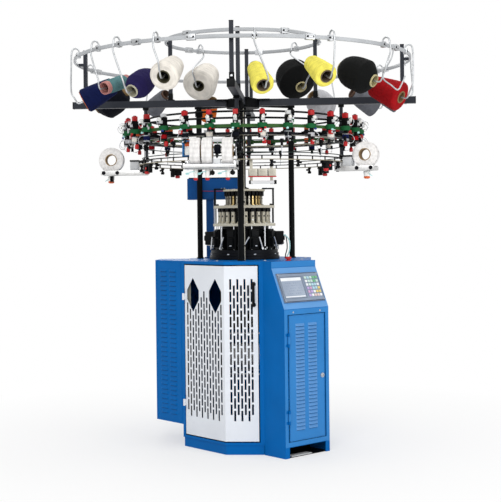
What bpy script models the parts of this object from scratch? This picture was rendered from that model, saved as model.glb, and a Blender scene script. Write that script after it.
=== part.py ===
"""A circular jacquard knitting machine with its yarn creel.

Metres, +Z up. The origin is on the floor under the cylinder's axis, the perforated door faces -Y
and the operator's console stands at the front right. An angle round the machine is measured from
the front, positive towards +X, so each repeated piece is modelled at the front and turned there.
"""

import math

import bmesh
import bpy
from mathutils import Matrix, Vector

# Gaps between pieces
SEAT = 0.0003
RUNNING = 0.006
OVERLAP = 0.002

# Base cabinet, whose middle stands a little right of the cylinder's axis
BASE_SHIFT = 0.019
FRONT = 0.442
CORNER = 0.096
SIDE = 0.329
SHEET = 0.003
PLINTH_HEIGHT = 0.047
PLINTH_INSET = 0.006
TABLE_LEVEL = 0.945
TABLE_THICK = 0.015
TABLE_HOLE = 0.086

# Perforated front door, bent from one sheet
DOOR_SHEET = 0.0025
DOOR_LEFT_FACET = 0.312
DOOR_RIGHT_FACET = 0.165
DOOR_BOTTOM = 0.066
DOOR_TOP = 0.924
SLOT_LENGTH = 0.050
SLOT_WIDTH = 0.0085
SLOT_ROW = 0.0613
SLOT_LOWEST = 0.160
LEFT_COLUMNS = 13
LEFT_COLUMN_PITCH = 0.0216
LEFT_FIRST_COLUMN = 0.028
LEFT_TOP_SLOT = 0.795
LEFT_FAR_STEPS = 4
RIGHT_COLUMNS = 7
RIGHT_COLUMN_PITCH = 0.01745
RIGHT_FIRST_COLUMN = 0.031
RIGHT_TOP_SLOT = 0.8598
WINDOW_WIDTH = 0.096
WINDOW_HEIGHT = 0.176
WINDOW_STRAIGHT = 0.047
WINDOW_LEVEL = 0.775
WINDOW_COLUMNS = (2, 10)
HANDLE_LEVEL = 0.785
HANDLE_LENGTH = 0.115
HANDLE_INSET = 0.020
HANDLE_STAND_OFF = 0.020
GRIP_WIDTH = 0.014
GRIP_THICK = 0.010

# Hinges of both doors
HINGE_PIN = 0.003
HINGE_SLEEVE = 0.006
HINGE_KNUCKLE = 0.0055
HINGE_BORE = 0.0036
HINGE_LENGTH = 0.034
HINGE_LEAF = 0.016
HINGE_PLATE = 0.003

# Operator's console
CONSOLE_WIDTH = 0.302
CONSOLE_DEPTH = 0.147
CONSOLE_FACE_TOP = 0.716
CONSOLE_SLOPE_TOP = 0.914
CONSOLE_SLOPE_RUN = 0.088
CONSOLE_FLOOR = 0.052
CONSOLE_LEG = 0.028
CONSOLE_DOOR_MARGIN = 0.024
CONSOLE_DOOR_WIDTH = CONSOLE_WIDTH - 2 * CONSOLE_DOOR_MARGIN
CONSOLE_DOOR_BOTTOM = 0.079
CONSOLE_DOOR_TOP = 0.687
FASCIA_MARGIN = 0.013
FASCIA_WIDTH = CONSOLE_WIDTH - 2 * FASCIA_MARGIN
FASCIA_LENGTH = 0.150
FASCIA_THICK = 0.008
FASCIA_GAP = 0.0128
KEY = 0.0125
KEY_PITCH = 0.0185
KEY_THICK = 0.002
KEY_COLUMNS = 5
KEY_ROWS = 6
SCREEN_WIDTH = FASCIA_WIDTH - KEY_COLUMNS * KEY_PITCH - 3 * FASCIA_GAP
SCREEN_LENGTH = 0.110
SCREEN_THICK = 0.002
STOP_BUTTON = 0.016
BUTTON_OUTLINE = (
    (0, 1.25), (0.75, 1.25), (1, 0.95), (1, 0.62), (0.56, 0.56), (0.56, 0.25), (0.88, 0.25), (0.88, 0), (0, 0)
)
STOP_BUTTON_INSET = 0.022

# Louvred cabinet on the left
WING_REACH = 0.221
WING_DEPTH = 0.190
WING_BOTTOM = 0.112

# Knitting head
CYLINDER = 0.066
CYLINDER_WALL = 0.010
CYLINDER_TOP = 1.290
CYLINDER_BELOW_TABLE = 0.055
SHOULDER = 0.100
SHOULDER_THICK = 0.012
CAM_RING = 0.184
CAM_RING_BORE = 0.112
CAM_RING_HEIGHT = 0.051
ACTUATOR_COUNT = 8
ACTUATOR_CIRCLE = 0.140
ACTUATOR_WIDTH = 0.052
ACTUATOR_DEPTH = 0.034
ACTUATOR_HEIGHT = 0.110
SOCKET_CIRCLE = 0.162
SOCKET_WIDTH = 0.030
SOCKET_DEPTH = 0.022
SOCKET_SHARE = 0.45
SOCKET_DROP = 0.020
HEAD_ROD = 0.0045
HEAD_ROD_CIRCLE = 0.158
HEAD_ROD_ANGLES = (-45, 45, 135, 225)
HEAD_PLATE_THICK = 0.014
LOWER_PLATE = 0.164
LOWER_PLATE_BORE = 0.084
LOWER_PLATE_LEVEL = 1.118
UPPER_PLATE = 0.160
UPPER_PLATE_BORE = 0.076
UPPER_PLATE_LEVEL = 1.212
SELECTOR_COUNT = 24
LOWER_SELECTOR = (0.017, 0.030)
LOWER_SELECTOR_CIRCLE = 0.123
UPPER_SELECTOR = (0.012, 0.020)
UPPER_SELECTOR_CIRCLE = 0.088
TOP_PLATE = 0.110
TOP_PLATE_LEVEL = 1.300
TOP_PLATE_THICK = 0.010
BRACKET = 0.014
BRACKET_THICK = 0.008
BRACKET_FOOT = 0.024
BRACKET_ARM = 0.010

# Drive box behind the head
DRIVE_BOX = (0.300, 0.125, 0.113)
DRIVE_BOX_AT = (-0.168, 0.230, 1.3205)
DRIVE_STAND = (0.040, 0.060)
DRIVE_STAND_AT = (-0.198, 0.215)

# Posts and creel
POST_CIRCLE = 0.286
POST = 0.015
POST_SIDES = 16
ARM = 0.035
ARM_LEVEL = 1.767
ARM_REACH = 0.900
HUB = 0.0865
HUB_DROP = 0.012
SPOKE_SHARE = 0.6
UPRIGHT = 0.020
RING_HEIGHT = 0.018
RING_THICK = 0.012
ARM_TIP = 0.065
OUTER_STAND_OFF = 0.040
OUTER_RISE = 0.215
OUTER_UPRIGHT_TIP = 0.073
OUTER_UPRIGHT = ARM_REACH - ARM_TIP
OUTER_RING = OUTER_UPRIGHT + OUTER_STAND_OFF
OUTER_RING_LEVEL = ARM_LEVEL + OUTER_RISE
INNER_UPRIGHT = 0.382
INNER_STAND_OFF = 0.022
INNER_RISE = 0.3215
INNER_UPRIGHT_TIP = 0.0135
INNER_RING = INNER_UPRIGHT + INNER_STAND_OFF
INNER_RING_LEVEL = ARM_LEVEL + INNER_RISE
STUB_WIDTH = 0.016
STUB_HEIGHT = 0.014
HOOK_ROD = 0.004
CLAMP_LENGTH = 0.022
CLAMP_MARGIN = 0.005

# Cones of yarn and the cores that hold them
TUBE = 0.031
TUBE_BORE = 0.026
CORE_START = 0.022
CORE_REACH = 0.090
YARN_STEP = 0.010

# Yarn feeders
HANGER_CIRCLE = 0.515
HANGER = 0.018
RAIL = 0.005
UPPER_RAIL_LEVEL = 1.677
LOWER_RAIL_LEVEL = 1.637
FEEDER_COUNT = 30
FEEDER_RING_LEVEL = 1.560
FEEDER_RING_WIDTH = 0.030
FEEDER_RING_THICK = 0.012
FEEDER_CIRCLE = 0.610
FEEDER_BRACKET = (0.024, 0.016)
FEEDER_BODY = 0.015
FEEDER_BOTTOM = 1.572
FEEDER_TOP = 1.655
PULLEY = 0.022
PULLEY_WIDTH = 0.016
STORAGE_DRUM = 0.024
STORAGE_DRUM_LENGTH = 0.034
BELT_LEVEL = 1.600
BELT_WIDTH = 0.012
BELT_THICK = 0.002
LOWER_RING = 0.530
LOWER_RING_LEVEL = 1.440
LOWER_RING_WIDTH = 0.040
LOWER_RING_THICK = 0.022

# Elastane bobbins
BOBBIN = 0.066
BOBBIN_BORE = 0.027
BOBBIN_WIDTH = 0.050
BOBBIN_LEVEL = 1.474
ROLLER = 0.011
ROLLER_SPREAD = 0.036
UNIT_ARM = (0.008, 0.022)
UNIT_ARM_TIP = 0.014
UNIT_FOOT = 0.030
GUIDE_BAR = (0.020, 0.010)
GUIDE_DROP = 0.012
GUIDE = 0.013
GUIDE_LENGTH = 0.036
SIDE_UNIT_LENGTH = 0.086
FRONT_UNIT_LENGTH = 0.240

# Fabric take-down inside the base
TAKE_DOWN_WIDTH = 0.240
TAKE_DOWN_BOTTOM = 0.330
TAKE_DOWN_PLATE = 0.010
TAKE_DOWN_DEPTH = 0.190
TAKE_DOWN_FLANGE = (0.100, 0.050, 0.012)
CROSS_BAR = (0.050, 0.016)
CROSS_BAR_OFFSET = 0.070
DRAW_ROLLER = 0.0215
DRAW_ROLLERS = ((-0.022, 0.640), (0.022, 0.640), (0.0, 0.600))
FABRIC_ROLL = 0.058
FABRIC_ROLL_LEVEL = 0.440
FABRIC_ROLL_END = 0.012
FABRIC_SHAFT = 0.012

# Round pieces
ROUND = 24
COARSE = 12
COARSEST = 8
ROLL_SIDES = 16
HOOP_SIDES = 48
CONE_SIDES = 12

DIAGONAL = math.sqrt(0.5)


def clear_scene():
    for obj in list(bpy.data.objects):
        bpy.data.objects.remove(obj, do_unlink=True)


def srgb(red, green, blue):
    """A colour given as screen values from 0 to 255."""
    shares = [value / 255 for value in (red, green, blue)]
    return [s / 12.92 if s <= 0.04045 else ((s + 0.055) / 1.055) ** 2.4 for s in shares]


def finish(name, colour, roughness, metallic=0.0):
    material = bpy.data.materials.new(name)
    material.use_nodes = True
    shader = material.node_tree.nodes["Principled BSDF"]
    shader.inputs["Base Color"].default_value = (*srgb(*colour), 1)
    shader.inputs["Roughness"].default_value = roughness
    shader.inputs["Metallic"].default_value = metallic
    material.diffuse_color = (*srgb(*colour), 1)
    return material


clear_scene()
scene = bpy.context.scene
parts = bpy.data.collections.new("jacquard_knitting_machine")
workbench = bpy.data.collections.new("workbench")
scene.collection.children.link(parts)
scene.collection.children.link(workbench)

BLUE = finish("blue_paint", (15, 100, 180), 0.35)
LIGHT_BLUE = finish("light_blue_paint", (60, 125, 200), 0.35)
WHITE = finish("white_paint", (236, 236, 240), 0.4)
BLACK = finish("black_paint", (28, 30, 35), 0.45)
DARK = finish("dark_plastic", (22, 23, 26), 0.5)
STEEL = finish("bright_steel", (190, 192, 195), 0.3, 1.0)
LIGHT_GREY = finish("light_grey_paint", (205, 207, 210), 0.4)
CREAM = finish("cream_plate", (200, 190, 165), 0.45)
GREY = finish("grey_plastic", (120, 130, 145), 0.5)
SCREEN = finish("display_glass", (150, 165, 185), 0.2)
RED = finish("red_plastic", (200, 25, 30), 0.4)
GREEN = finish("green_belt", (30, 130, 70), 0.6)
YARN_WHITE = finish("white_yarn", (228, 224, 215), 0.9)


def loose(mesh, place=None):
    """A piece on the workbench, to be fused or cut."""
    if place is not None:
        mesh.transform(place)
    piece = bpy.data.objects.new("piece", mesh)
    workbench.objects.link(piece)
    return piece


def primitive(make, place=None):
    bm = bmesh.new()
    make(bm)
    mesh = bpy.data.meshes.new("piece")
    bm.to_mesh(mesh)
    bm.free()
    return loose(mesh, place)


def block(size, at, place=None):
    """A box by its size and centre."""
    stretch = Matrix.Translation(at) @ Matrix.Diagonal((*size, 1))
    return primitive(lambda bm: bmesh.ops.create_cube(bm, size=1, matrix=stretch), place)


def rod(radius, start, end, place=None, sides=COARSE):
    """A round bar between two points."""
    start, end = Vector(start), Vector(end)
    along = end - start
    lie = Matrix.Translation((start + end) / 2) @ along.to_track_quat("Z", "Y").to_matrix().to_4x4()
    return primitive(
        lambda bm: bmesh.ops.create_cone(
            bm, cap_ends=True, segments=sides, radius1=radius, radius2=radius, depth=along.length, matrix=lie
        ),
        place,
    )


def evaluated_mesh(obj, weld=1e-6):
    """The mesh an object shows with its modifiers, its loose caps welded."""
    graph = bpy.context.evaluated_depsgraph_get()
    mesh = bpy.data.meshes.new_from_object(obj.evaluated_get(graph), depsgraph=graph)
    bm = bmesh.new()
    bm.from_mesh(mesh)
    bmesh.ops.remove_doubles(bm, verts=bm.verts, dist=weld)
    bmesh.ops.recalc_face_normals(bm, faces=bm.faces)
    bm.to_mesh(mesh)
    bm.free()
    return mesh


def taken_off(obj):
    """The evaluated mesh of a helper, which is then removed."""
    mesh = evaluated_mesh(obj)
    bpy.data.objects.remove(obj, do_unlink=True)
    return mesh


def spline_of(curve, points, closed):
    spline = curve.splines.new("POLY")
    spline.points.add(len(points) - 1)
    for knot, point in zip(spline.points, points):
        knot.co = (*point, 0, 1) if len(point) == 2 else (*point, 1)
    spline.use_cyclic_u = closed


def plate(outline, thickness, place=None, holes=()):
    """A flat outline with holes, from Z = 0 up to its thickness."""
    curve = bpy.data.curves.new("outline", "CURVE")
    curve.dimensions = "2D"
    curve.fill_mode = "BOTH"
    curve.extrude = thickness / 2
    for loop in (outline, *holes):
        spline_of(curve, loop, True)
    helper = bpy.data.objects.new("outline", curve)
    workbench.objects.link(helper)
    mesh = taken_off(helper)
    mesh.transform(Matrix.Translation((0, 0, thickness / 2)))
    return loose(mesh, place)


def circle(radius, sides=ROUND):
    return [
        (radius * math.sin(math.tau * step / sides), -radius * math.cos(math.tau * step / sides))
        for step in range(sides)
    ]


def washer(outer, inner, low, high, sides=ROUND):
    """A flat ring, or the wall of a drum, between two levels."""
    return plate(circle(outer, sides), high - low, lift(low), [circle(inner, sides)])


def tube(points, radius, place=None, closed=False):
    """A bent bar."""
    curve = bpy.data.curves.new("bar", "CURVE")
    curve.dimensions = "3D"
    curve.bevel_depth = radius
    curve.bevel_resolution = 0
    curve.use_fill_caps = True
    spline_of(curve, points, closed)
    helper = bpy.data.objects.new("bar", curve)
    workbench.objects.link(helper)
    return loose(taken_off(helper), place)


def turned(profile, place=None, sides=ROUND):
    """A solid of revolution about Z. The profile's points are (radius, level), from the top down."""
    mesh = bpy.data.meshes.new("profile")
    corners = [(radius, 0, level) for radius, level in profile]
    mesh.from_pydata(corners, [(i, i + 1) for i in range(len(corners) - 1)], [])
    helper = bpy.data.objects.new("profile", mesh)
    workbench.objects.link(helper)
    screw = helper.modifiers.new("Screw", "SCREW")
    screw.steps = screw.render_steps = sides
    screw.use_merge_vertices = True
    screw.merge_threshold = 1e-5
    screw.use_smooth_shade = False
    return loose(taken_off(helper), place)


def lift(level):
    return Matrix.Translation((0, 0, level))


def around(degrees):
    """The turn that takes a piece from the front to its place round the machine."""
    return Matrix.Rotation(math.radians(degrees), 4, "Z")


def with_boolean(piece, others, operation):
    """A piece joined with, or cut by, the others."""
    tools = bpy.data.collections.new("tools")
    for other in others:
        tools.objects.link(other)
    modifier = piece.modifiers.new(operation.title(), "BOOLEAN")
    modifier.operation = operation
    modifier.solver = "EXACT"
    modifier.operand_type = "COLLECTION"
    modifier.collection = tools
    mesh = evaluated_mesh(piece)
    for other in others:
        bpy.data.objects.remove(other, do_unlink=True)
    bpy.data.objects.remove(piece, do_unlink=True)
    bpy.data.collections.remove(tools)
    return loose(mesh)


def joined(pieces):
    return with_boolean(pieces[0], pieces[1:], "UNION") if len(pieces) > 1 else pieces[0]


def cut(piece, cutters):
    return with_boolean(piece, cutters, "DIFFERENCE")


def keep(name, piece, material, origin=(0, 0, 0)):
    """Names a finished piece, paints it and moves its origin, with its shape left where it is."""
    workbench.objects.unlink(piece)
    parts.objects.link(piece)
    piece.name = name
    piece.data.name = name
    piece.data.transform(Matrix.Translation(-Vector(origin)))
    piece.location = origin
    piece.data.materials.clear()
    piece.data.materials.append(material)
    piece.data.shade_smooth()
    piece.data.set_sharp_from_angle(angle=math.radians(35))
    return piece


def ride_on(piece, carrier):
    """Parents a piece to the one that carries it, and leaves it in place."""
    bpy.context.view_layer.update()
    piece.parent = carrier
    piece.matrix_parent_inverse = carrier.matrix_world.inverted()


def octagon(inset=0.0):
    """The base's plan: cut corners in front and behind, flat sides."""
    shift = inset * math.tan(math.radians(22.5))
    front, corner, side = FRONT - inset, CORNER - shift, SIDE - inset
    shoulder = FRONT - (SIDE - CORNER) - shift
    half = [(-side, -shoulder), (-corner, -front), (corner, -front), (side, -shoulder)]
    plan = half + [(-x, -y) for x, y in half]
    return [(BASE_SHIFT + x, y) for x, y in plan]


def prism(outline, low, high, holes=()):
    return plate(outline, high - low, lift(low), holes)


# The diagonal faces of the front: a local frame with X along the face to the right, -Y outwards
LEFT_FOLD = BASE_SHIFT - CORNER
LEFT_CORNER = Vector((LEFT_FOLD - DOOR_LEFT_FACET * DIAGONAL, -FRONT + DOOR_LEFT_FACET * DIAGONAL, 0))
LEFT_FACE = Matrix.Translation(LEFT_CORNER) @ Matrix.Rotation(math.radians(-45), 4, "Z")
CONSOLE_FRAME = (
    Matrix.Translation((BASE_SHIFT + CORNER, -FRONT, 0))
    @ Matrix.Rotation(math.radians(45), 4, "Z")
    @ Matrix.Translation((0, -CONSOLE_DEPTH, 0))
)


def hinge_places(bottom, top):
    """The levels at which a door's two hinges start."""
    quarter = (top - bottom) / 6
    return (bottom + quarter, top - quarter - HINGE_LENGTH)


def hinge_sleeves(place, levels, leaf_side):
    """The door's half of its hinges: sleeves on leaves, at the local origin's vertical line."""
    pieces = []
    for level in levels:
        ring = washer(HINGE_SLEEVE, HINGE_BORE, level, level + HINGE_LENGTH, COARSE)
        ring.data.transform(place)
        leaf = block(
            (HINGE_LEAF, HINGE_PLATE, HINGE_LENGTH - 2 * OVERLAP),
            (leaf_side * (HINGE_LEAF / 2 + HINGE_PLATE), HINGE_KNUCKLE, level + HINGE_LENGTH / 2),
            place,
        )
        pieces += [ring, leaf]
    return pieces


def hinge_pins(place, levels, leaf_side):
    """The frame's half: a pin through each sleeve, between two knuckles on leaves."""
    pieces = []
    knuckle = HINGE_LENGTH / 2
    for level in levels:
        top = level + HINGE_LENGTH
        pieces.append(rod(HINGE_PIN, (0, 0, level - OVERLAP), (0, 0, top + OVERLAP), place))
        for low in (level - SEAT - knuckle, top + SEAT):
            pieces.append(rod(HINGE_KNUCKLE, (0, 0, low), (0, 0, low + knuckle), place))
            pieces.append(
                block(
                    (HINGE_LEAF, HINGE_PLATE, knuckle - 2 * OVERLAP),
                    (-leaf_side * (HINGE_LEAF / 2 + SEAT), HINGE_KNUCKLE, low + knuckle / 2),
                    place,
                )
            )
    return pieces


# The front door's hinge line stands off the left end of its left facet
DOOR_HINGE = LEFT_FACE @ Vector((0, -HINGE_SLEEVE, 0))
DOOR_HINGE_FRAME = LEFT_FACE @ Matrix.Translation((0, -HINGE_SLEEVE, 0))
DOOR_HINGES = hinge_places(DOOR_BOTTOM, DOOR_TOP)


def base_cabinet():
    keep(
        "base_plinth",
        prism(octagon(PLINTH_INSET), 0, PLINTH_HEIGHT - SEAT),
        BLUE,
    )
    walls = prism(octagon(), PLINTH_HEIGHT, TABLE_LEVEL - TABLE_THICK - SEAT)
    hollow = prism(octagon(SHEET), PLINTH_HEIGHT + SHEET, TABLE_LEVEL)
    right = LEFT_FOLD + DOOR_RIGHT_FACET + RUNNING
    doorway = prism(
        [
            (LEFT_FACE @ Vector((0, -CORNER, 0)))[:2],
            (LEFT_FOLD, -FRONT - 2 * CORNER),
            (right, -FRONT - 2 * CORNER),
            (right, -FRONT + CORNER / 2),
            (LEFT_FACE @ Vector((DOOR_LEFT_FACET / 2, CORNER, 0)))[:2],
            (LEFT_FACE @ Vector((0, CORNER, 0)))[:2],
        ],
        DOOR_BOTTOM - RUNNING,
        TABLE_LEVEL,
    )
    walls = cut(walls, [hollow])
    walls = cut(walls, [doorway])
    walls = joined([walls, *hinge_pins(DOOR_HINGE_FRAME, DOOR_HINGES, 1)])
    keep("base_walls", walls, BLUE)
    table = prism(octagon(), TABLE_LEVEL - TABLE_THICK, TABLE_LEVEL, [circle(TABLE_HOLE)])
    keep("table_top", table, LIGHT_BLUE)


def slot(x, top):
    """An upright slot, as a loop of (x, level)."""
    half = SLOT_WIDTH / 2
    bottom = top - SLOT_LENGTH
    return [(x - half, top), (x - half, bottom), (x + half, bottom), (x + half, top)]


def window(x):
    """A tall six-sided window with its points up and down."""
    half, straight, tall = WINDOW_WIDTH / 2, WINDOW_STRAIGHT / 2, WINDOW_HEIGHT / 2
    left = [(0, tall), (-half, straight), (-half, -straight)]
    corners = left + [(-dx, -dz) for dx, dz in left]
    return [(x + dx, WINDOW_LEVEL + dz) for dx, dz in corners]


def column_of_slots(x, top):
    loops = []
    while top - SLOT_LENGTH >= SLOT_LOWEST:
        loops.append(slot(x, top))
        top -= SLOT_ROW
    return loops


def hole_cutters(loops, face):
    """One cutter for many holes of a face whose local X runs along it and whose -Y is outwards."""
    through = face @ Matrix.Translation((0, DOOR_SHEET + OVERLAP, 0)) @ Matrix.Rotation(math.pi / 2, 4, "X")
    return plate(loops[0], DOOR_SHEET + 2 * OVERLAP, through, loops[1:])


def left_holes():
    """The two windows, and slots that start lower the nearer they are to a window."""
    loops = [window(LEFT_FIRST_COLUMN + column * LEFT_COLUMN_PITCH) for column in WINDOW_COLUMNS]
    for column in range(LEFT_COLUMNS):
        steps = min(abs(column - middle) for middle in WINDOW_COLUMNS)
        top = LEFT_TOP_SLOT + (steps - LEFT_FAR_STEPS) * SLOT_ROW / 2
        loops += column_of_slots(LEFT_FIRST_COLUMN + column * LEFT_COLUMN_PITCH, top)
    return loops


def right_holes():
    loops = []
    for column in range(RIGHT_COLUMNS):
        top = RIGHT_TOP_SLOT - (column % 2) * SLOT_ROW / 2
        loops += column_of_slots(RIGHT_FIRST_COLUMN + column * RIGHT_COLUMN_PITCH, top)
    return loops


def bent_door():
    """The perforated sheet, folded by 45 degrees where its two facets meet."""
    mitre = DOOR_SHEET * math.tan(math.radians(22.5))
    right_end = LEFT_FOLD + DOOR_RIGHT_FACET
    plan = [
        LEFT_FACE @ Vector((RUNNING, 0, 0)),
        Vector((LEFT_FOLD, -FRONT, 0)),
        Vector((right_end, -FRONT, 0)),
        Vector((right_end, -FRONT + DOOR_SHEET, 0)),
        LEFT_FACE @ Vector((DOOR_LEFT_FACET - mitre, DOOR_SHEET, 0)),
        LEFT_FACE @ Vector((RUNNING, DOOR_SHEET, 0)),
    ]
    sheet = prism([corner[:2] for corner in plan], DOOR_BOTTOM, DOOR_TOP)
    right_face = Matrix.Translation((LEFT_FOLD, -FRONT, 0))
    return cut(sheet, [hole_cutters(left_holes(), LEFT_FACE), hole_cutters(right_holes(), right_face)])


def front_door():
    sheet = joined([bent_door(), *hinge_sleeves(DOOR_HINGE_FRAME, DOOR_HINGES, 1)])
    door = keep("front_door", sheet, WHITE, DOOR_HINGE)
    x = LEFT_FOLD + DOOR_RIGHT_FACET - HANDLE_INSET
    grip = (GRIP_WIDTH, GRIP_THICK, HANDLE_LENGTH)
    foot = (GRIP_WIDTH, HANDLE_STAND_OFF, GRIP_WIDTH)
    reach = (HANDLE_LENGTH - GRIP_WIDTH) / 2
    handle = joined([
        block(grip, (x, -FRONT - HANDLE_STAND_OFF - OVERLAP, HANDLE_LEVEL)),
        block(foot, (x, -FRONT - SEAT - HANDLE_STAND_OFF / 2, HANDLE_LEVEL + reach - SEAT)),
        block(foot, (x, -FRONT - SEAT - HANDLE_STAND_OFF / 2, HANDLE_LEVEL - reach + SEAT)),
    ])
    ride_on(keep("door_handle", handle, DARK), door)


def console_profile(inset=0.0):
    """The console's side view as (depth behind its front face, level)."""
    slope = Vector((CONSOLE_SLOPE_RUN, CONSOLE_SLOPE_TOP - CONSOLE_FACE_TOP))
    shift = inset * math.tan((math.pi / 2 - math.atan2(slope.y, slope.x)) / 2)
    return [
        (inset, CONSOLE_FLOOR + inset),
        (inset, CONSOLE_FACE_TOP - shift),
        (CONSOLE_SLOPE_RUN + inset, CONSOLE_SLOPE_TOP - shift),
        (CONSOLE_SLOPE_RUN + inset, TABLE_LEVEL - inset),
        (CONSOLE_DEPTH - SEAT - inset, TABLE_LEVEL - inset),
        (CONSOLE_DEPTH - SEAT - inset, CONSOLE_FLOOR + inset),
    ]


# A side view drawn in (distance outwards, level) stands upright at the front of the machine
FACING_OUT = Matrix(((0, 0, 1, 0), (-1, 0, 0, 0), (0, 1, 0, 0), (0, 0, 0, 1)))

# A side view drawn in (depth, level) stands upright across the console's width
ACROSS = Matrix(((0, 0, 1, 0), (1, 0, 0, 0), (0, 1, 0, 0), (0, 0, 0, 1)))
CONSOLE_HINGE_X = (CONSOLE_WIDTH - CONSOLE_DOOR_WIDTH) / 2
CONSOLE_HINGE_FRAME = CONSOLE_FRAME @ Matrix.Translation((CONSOLE_HINGE_X, -HINGE_SLEEVE, 0))
CONSOLE_HINGES = hinge_places(CONSOLE_DOOR_BOTTOM, CONSOLE_DOOR_TOP)


def console():
    shell = plate(console_profile(), CONSOLE_WIDTH, CONSOLE_FRAME @ ACROSS)
    inner_place = CONSOLE_FRAME @ Matrix.Translation((SHEET, 0, 0)) @ ACROSS
    inner = plate(console_profile(SHEET), CONSOLE_WIDTH - 2 * SHEET, inner_place)
    opening = block(
        (CONSOLE_DOOR_WIDTH, 4 * SHEET, CONSOLE_DOOR_TOP - CONSOLE_DOOR_BOTTOM + 2 * RUNNING),
        (CONSOLE_WIDTH / 2, 0, (CONSOLE_DOOR_TOP + CONSOLE_DOOR_BOTTOM) / 2),
        CONSOLE_FRAME,
    )
    shell = cut(shell, [opening])
    shell = cut(shell, [inner])
    legs = []
    for x in (0, CONSOLE_WIDTH - SHEET):
        flank = [(0, 0), (0, CONSOLE_FLOOR + OVERLAP), (CONSOLE_DEPTH - SEAT, CONSOLE_FLOOR + OVERLAP)]
        flank.append((CONSOLE_DEPTH - SEAT, 0))
        legs.append(plate(flank, SHEET, CONSOLE_FRAME @ Matrix.Translation((x, 0, 0)) @ ACROSS))
    for x in (CONSOLE_LEG / 2, CONSOLE_WIDTH - CONSOLE_LEG / 2):
        size = (CONSOLE_LEG, SHEET, CONSOLE_FLOOR + OVERLAP)
        legs.append(block(size, (x, SHEET / 2, size[2] / 2), CONSOLE_FRAME))
    pins = hinge_pins(CONSOLE_HINGE_FRAME, CONSOLE_HINGES, 1)
    keep("console_cabinet", joined([shell, *legs, *pins]), LIGHT_BLUE)

    hinge = CONSOLE_HINGE_FRAME.translation
    width = CONSOLE_DOOR_WIDTH - 2 * RUNNING
    leaf = block(
        (width, SHEET, CONSOLE_DOOR_TOP - CONSOLE_DOOR_BOTTOM),
        (CONSOLE_WIDTH / 2, SHEET / 2, (CONSOLE_DOOR_TOP + CONSOLE_DOOR_BOTTOM) / 2),
        CONSOLE_FRAME,
    )
    door = joined([leaf, *hinge_sleeves(CONSOLE_HINGE_FRAME, CONSOLE_HINGES, 1)])
    keep("console_door", door, LIGHT_BLUE, hinge)
    control_panel()


def slope_frame():
    """A frame on the slope: X across, Y up the slope, Z out of it."""
    rise = math.atan2(CONSOLE_SLOPE_TOP - CONSOLE_FACE_TOP, CONSOLE_SLOPE_RUN)
    foot = CONSOLE_FRAME @ Matrix.Translation((0, 0, CONSOLE_FACE_TOP))
    return foot @ Matrix.Rotation(rise, 4, "X")


def control_panel():
    frame = slope_frame()
    length = math.hypot(CONSOLE_SLOPE_TOP - CONSOLE_FACE_TOP, CONSOLE_SLOPE_RUN)
    centre = Vector((CONSOLE_WIDTH / 2, length / 2, SEAT))
    up = Vector((0, 0, 1))
    bed = block((FASCIA_WIDTH, FASCIA_LENGTH, FASCIA_THICK), centre + up * FASCIA_THICK / 2, frame)
    screen_at = centre + Vector((-FASCIA_WIDTH / 2 + FASCIA_GAP + SCREEN_WIDTH / 2, 0, 0))
    recess = block((SCREEN_WIDTH, SCREEN_LENGTH, FASCIA_THICK), screen_at + up * FASCIA_THICK, frame)
    keep("console_fascia", cut(bed, [recess]), GREY)
    glass = (SCREEN_WIDTH - 2 * SEAT, SCREEN_LENGTH - 2 * SEAT, SCREEN_THICK)
    lifted = (FASCIA_THICK + SCREEN_THICK) / 2 + SEAT
    keep("console_screen", block(glass, screen_at + up * lifted, frame), SCREEN)
    bed_width = KEY_COLUMNS * KEY_PITCH
    across = FASCIA_WIDTH / 2 - FASCIA_GAP - bed_width / 2
    pad_at = centre + Vector((across, 0, FASCIA_THICK + SEAT + KEY_THICK / 2))
    keys = [block((bed_width, KEY_ROWS * KEY_PITCH, KEY_THICK), pad_at, frame)]
    for row in range(KEY_ROWS):
        for column in range(KEY_COLUMNS):
            x = (column - (KEY_COLUMNS - 1) / 2) * KEY_PITCH
            y = (row - (KEY_ROWS - 1) / 2) * KEY_PITCH
            keys.append(block((KEY, KEY, 2 * KEY_THICK), pad_at + Vector((x, y, KEY_THICK)), frame))
    keep("console_keypad", joined(keys), LIGHT_GREY)
    rear = CONSOLE_DEPTH - STOP_BUTTON_INSET
    stop_at = CONSOLE_FRAME @ Vector((CONSOLE_WIDTH / 2, rear, TABLE_LEVEL + SEAT))
    profile = [(radius * STOP_BUTTON, level * STOP_BUTTON) for radius, level in BUTTON_OUTLINE]
    keep("stop_button", turned(profile, Matrix.Translation(stop_at), COARSE), RED)


def side_cabinet():
    """The louvred cabinet that carries on the line of the door's left facet."""
    wall = BASE_SHIFT - SIDE - SEAT
    near = LEFT_FACE @ Vector(((wall - LEFT_CORNER.x) / DIAGONAL, 0, 0))
    far = near + Vector((-WING_REACH * DIAGONAL, WING_REACH * DIAGONAL, 0))
    outline = [(wall, near.y), far[:2], (far.x, far.y + WING_DEPTH), (wall, far.y + WING_DEPTH)]
    body = prism(outline, WING_BOTTOM, TABLE_LEVEL)
    keep("side_cabinet", body, BLUE)


def needle_cylinder():
    seat = TABLE_LEVEL + SEAT
    shoulder = seat + SHOULDER_THICK
    inner = CYLINDER - CYLINDER_WALL
    low = TABLE_LEVEL - CYLINDER_BELOW_TABLE
    cylinder = turned([
        (inner, CYLINDER_TOP), (CYLINDER, CYLINDER_TOP), (CYLINDER, shoulder), (SHOULDER, shoulder),
        (SHOULDER, seat), (CYLINDER, seat), (CYLINDER, low), (inner, low), (inner, CYLINDER_TOP),
    ])
    keep("needle_cylinder", cylinder, STEEL)


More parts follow.
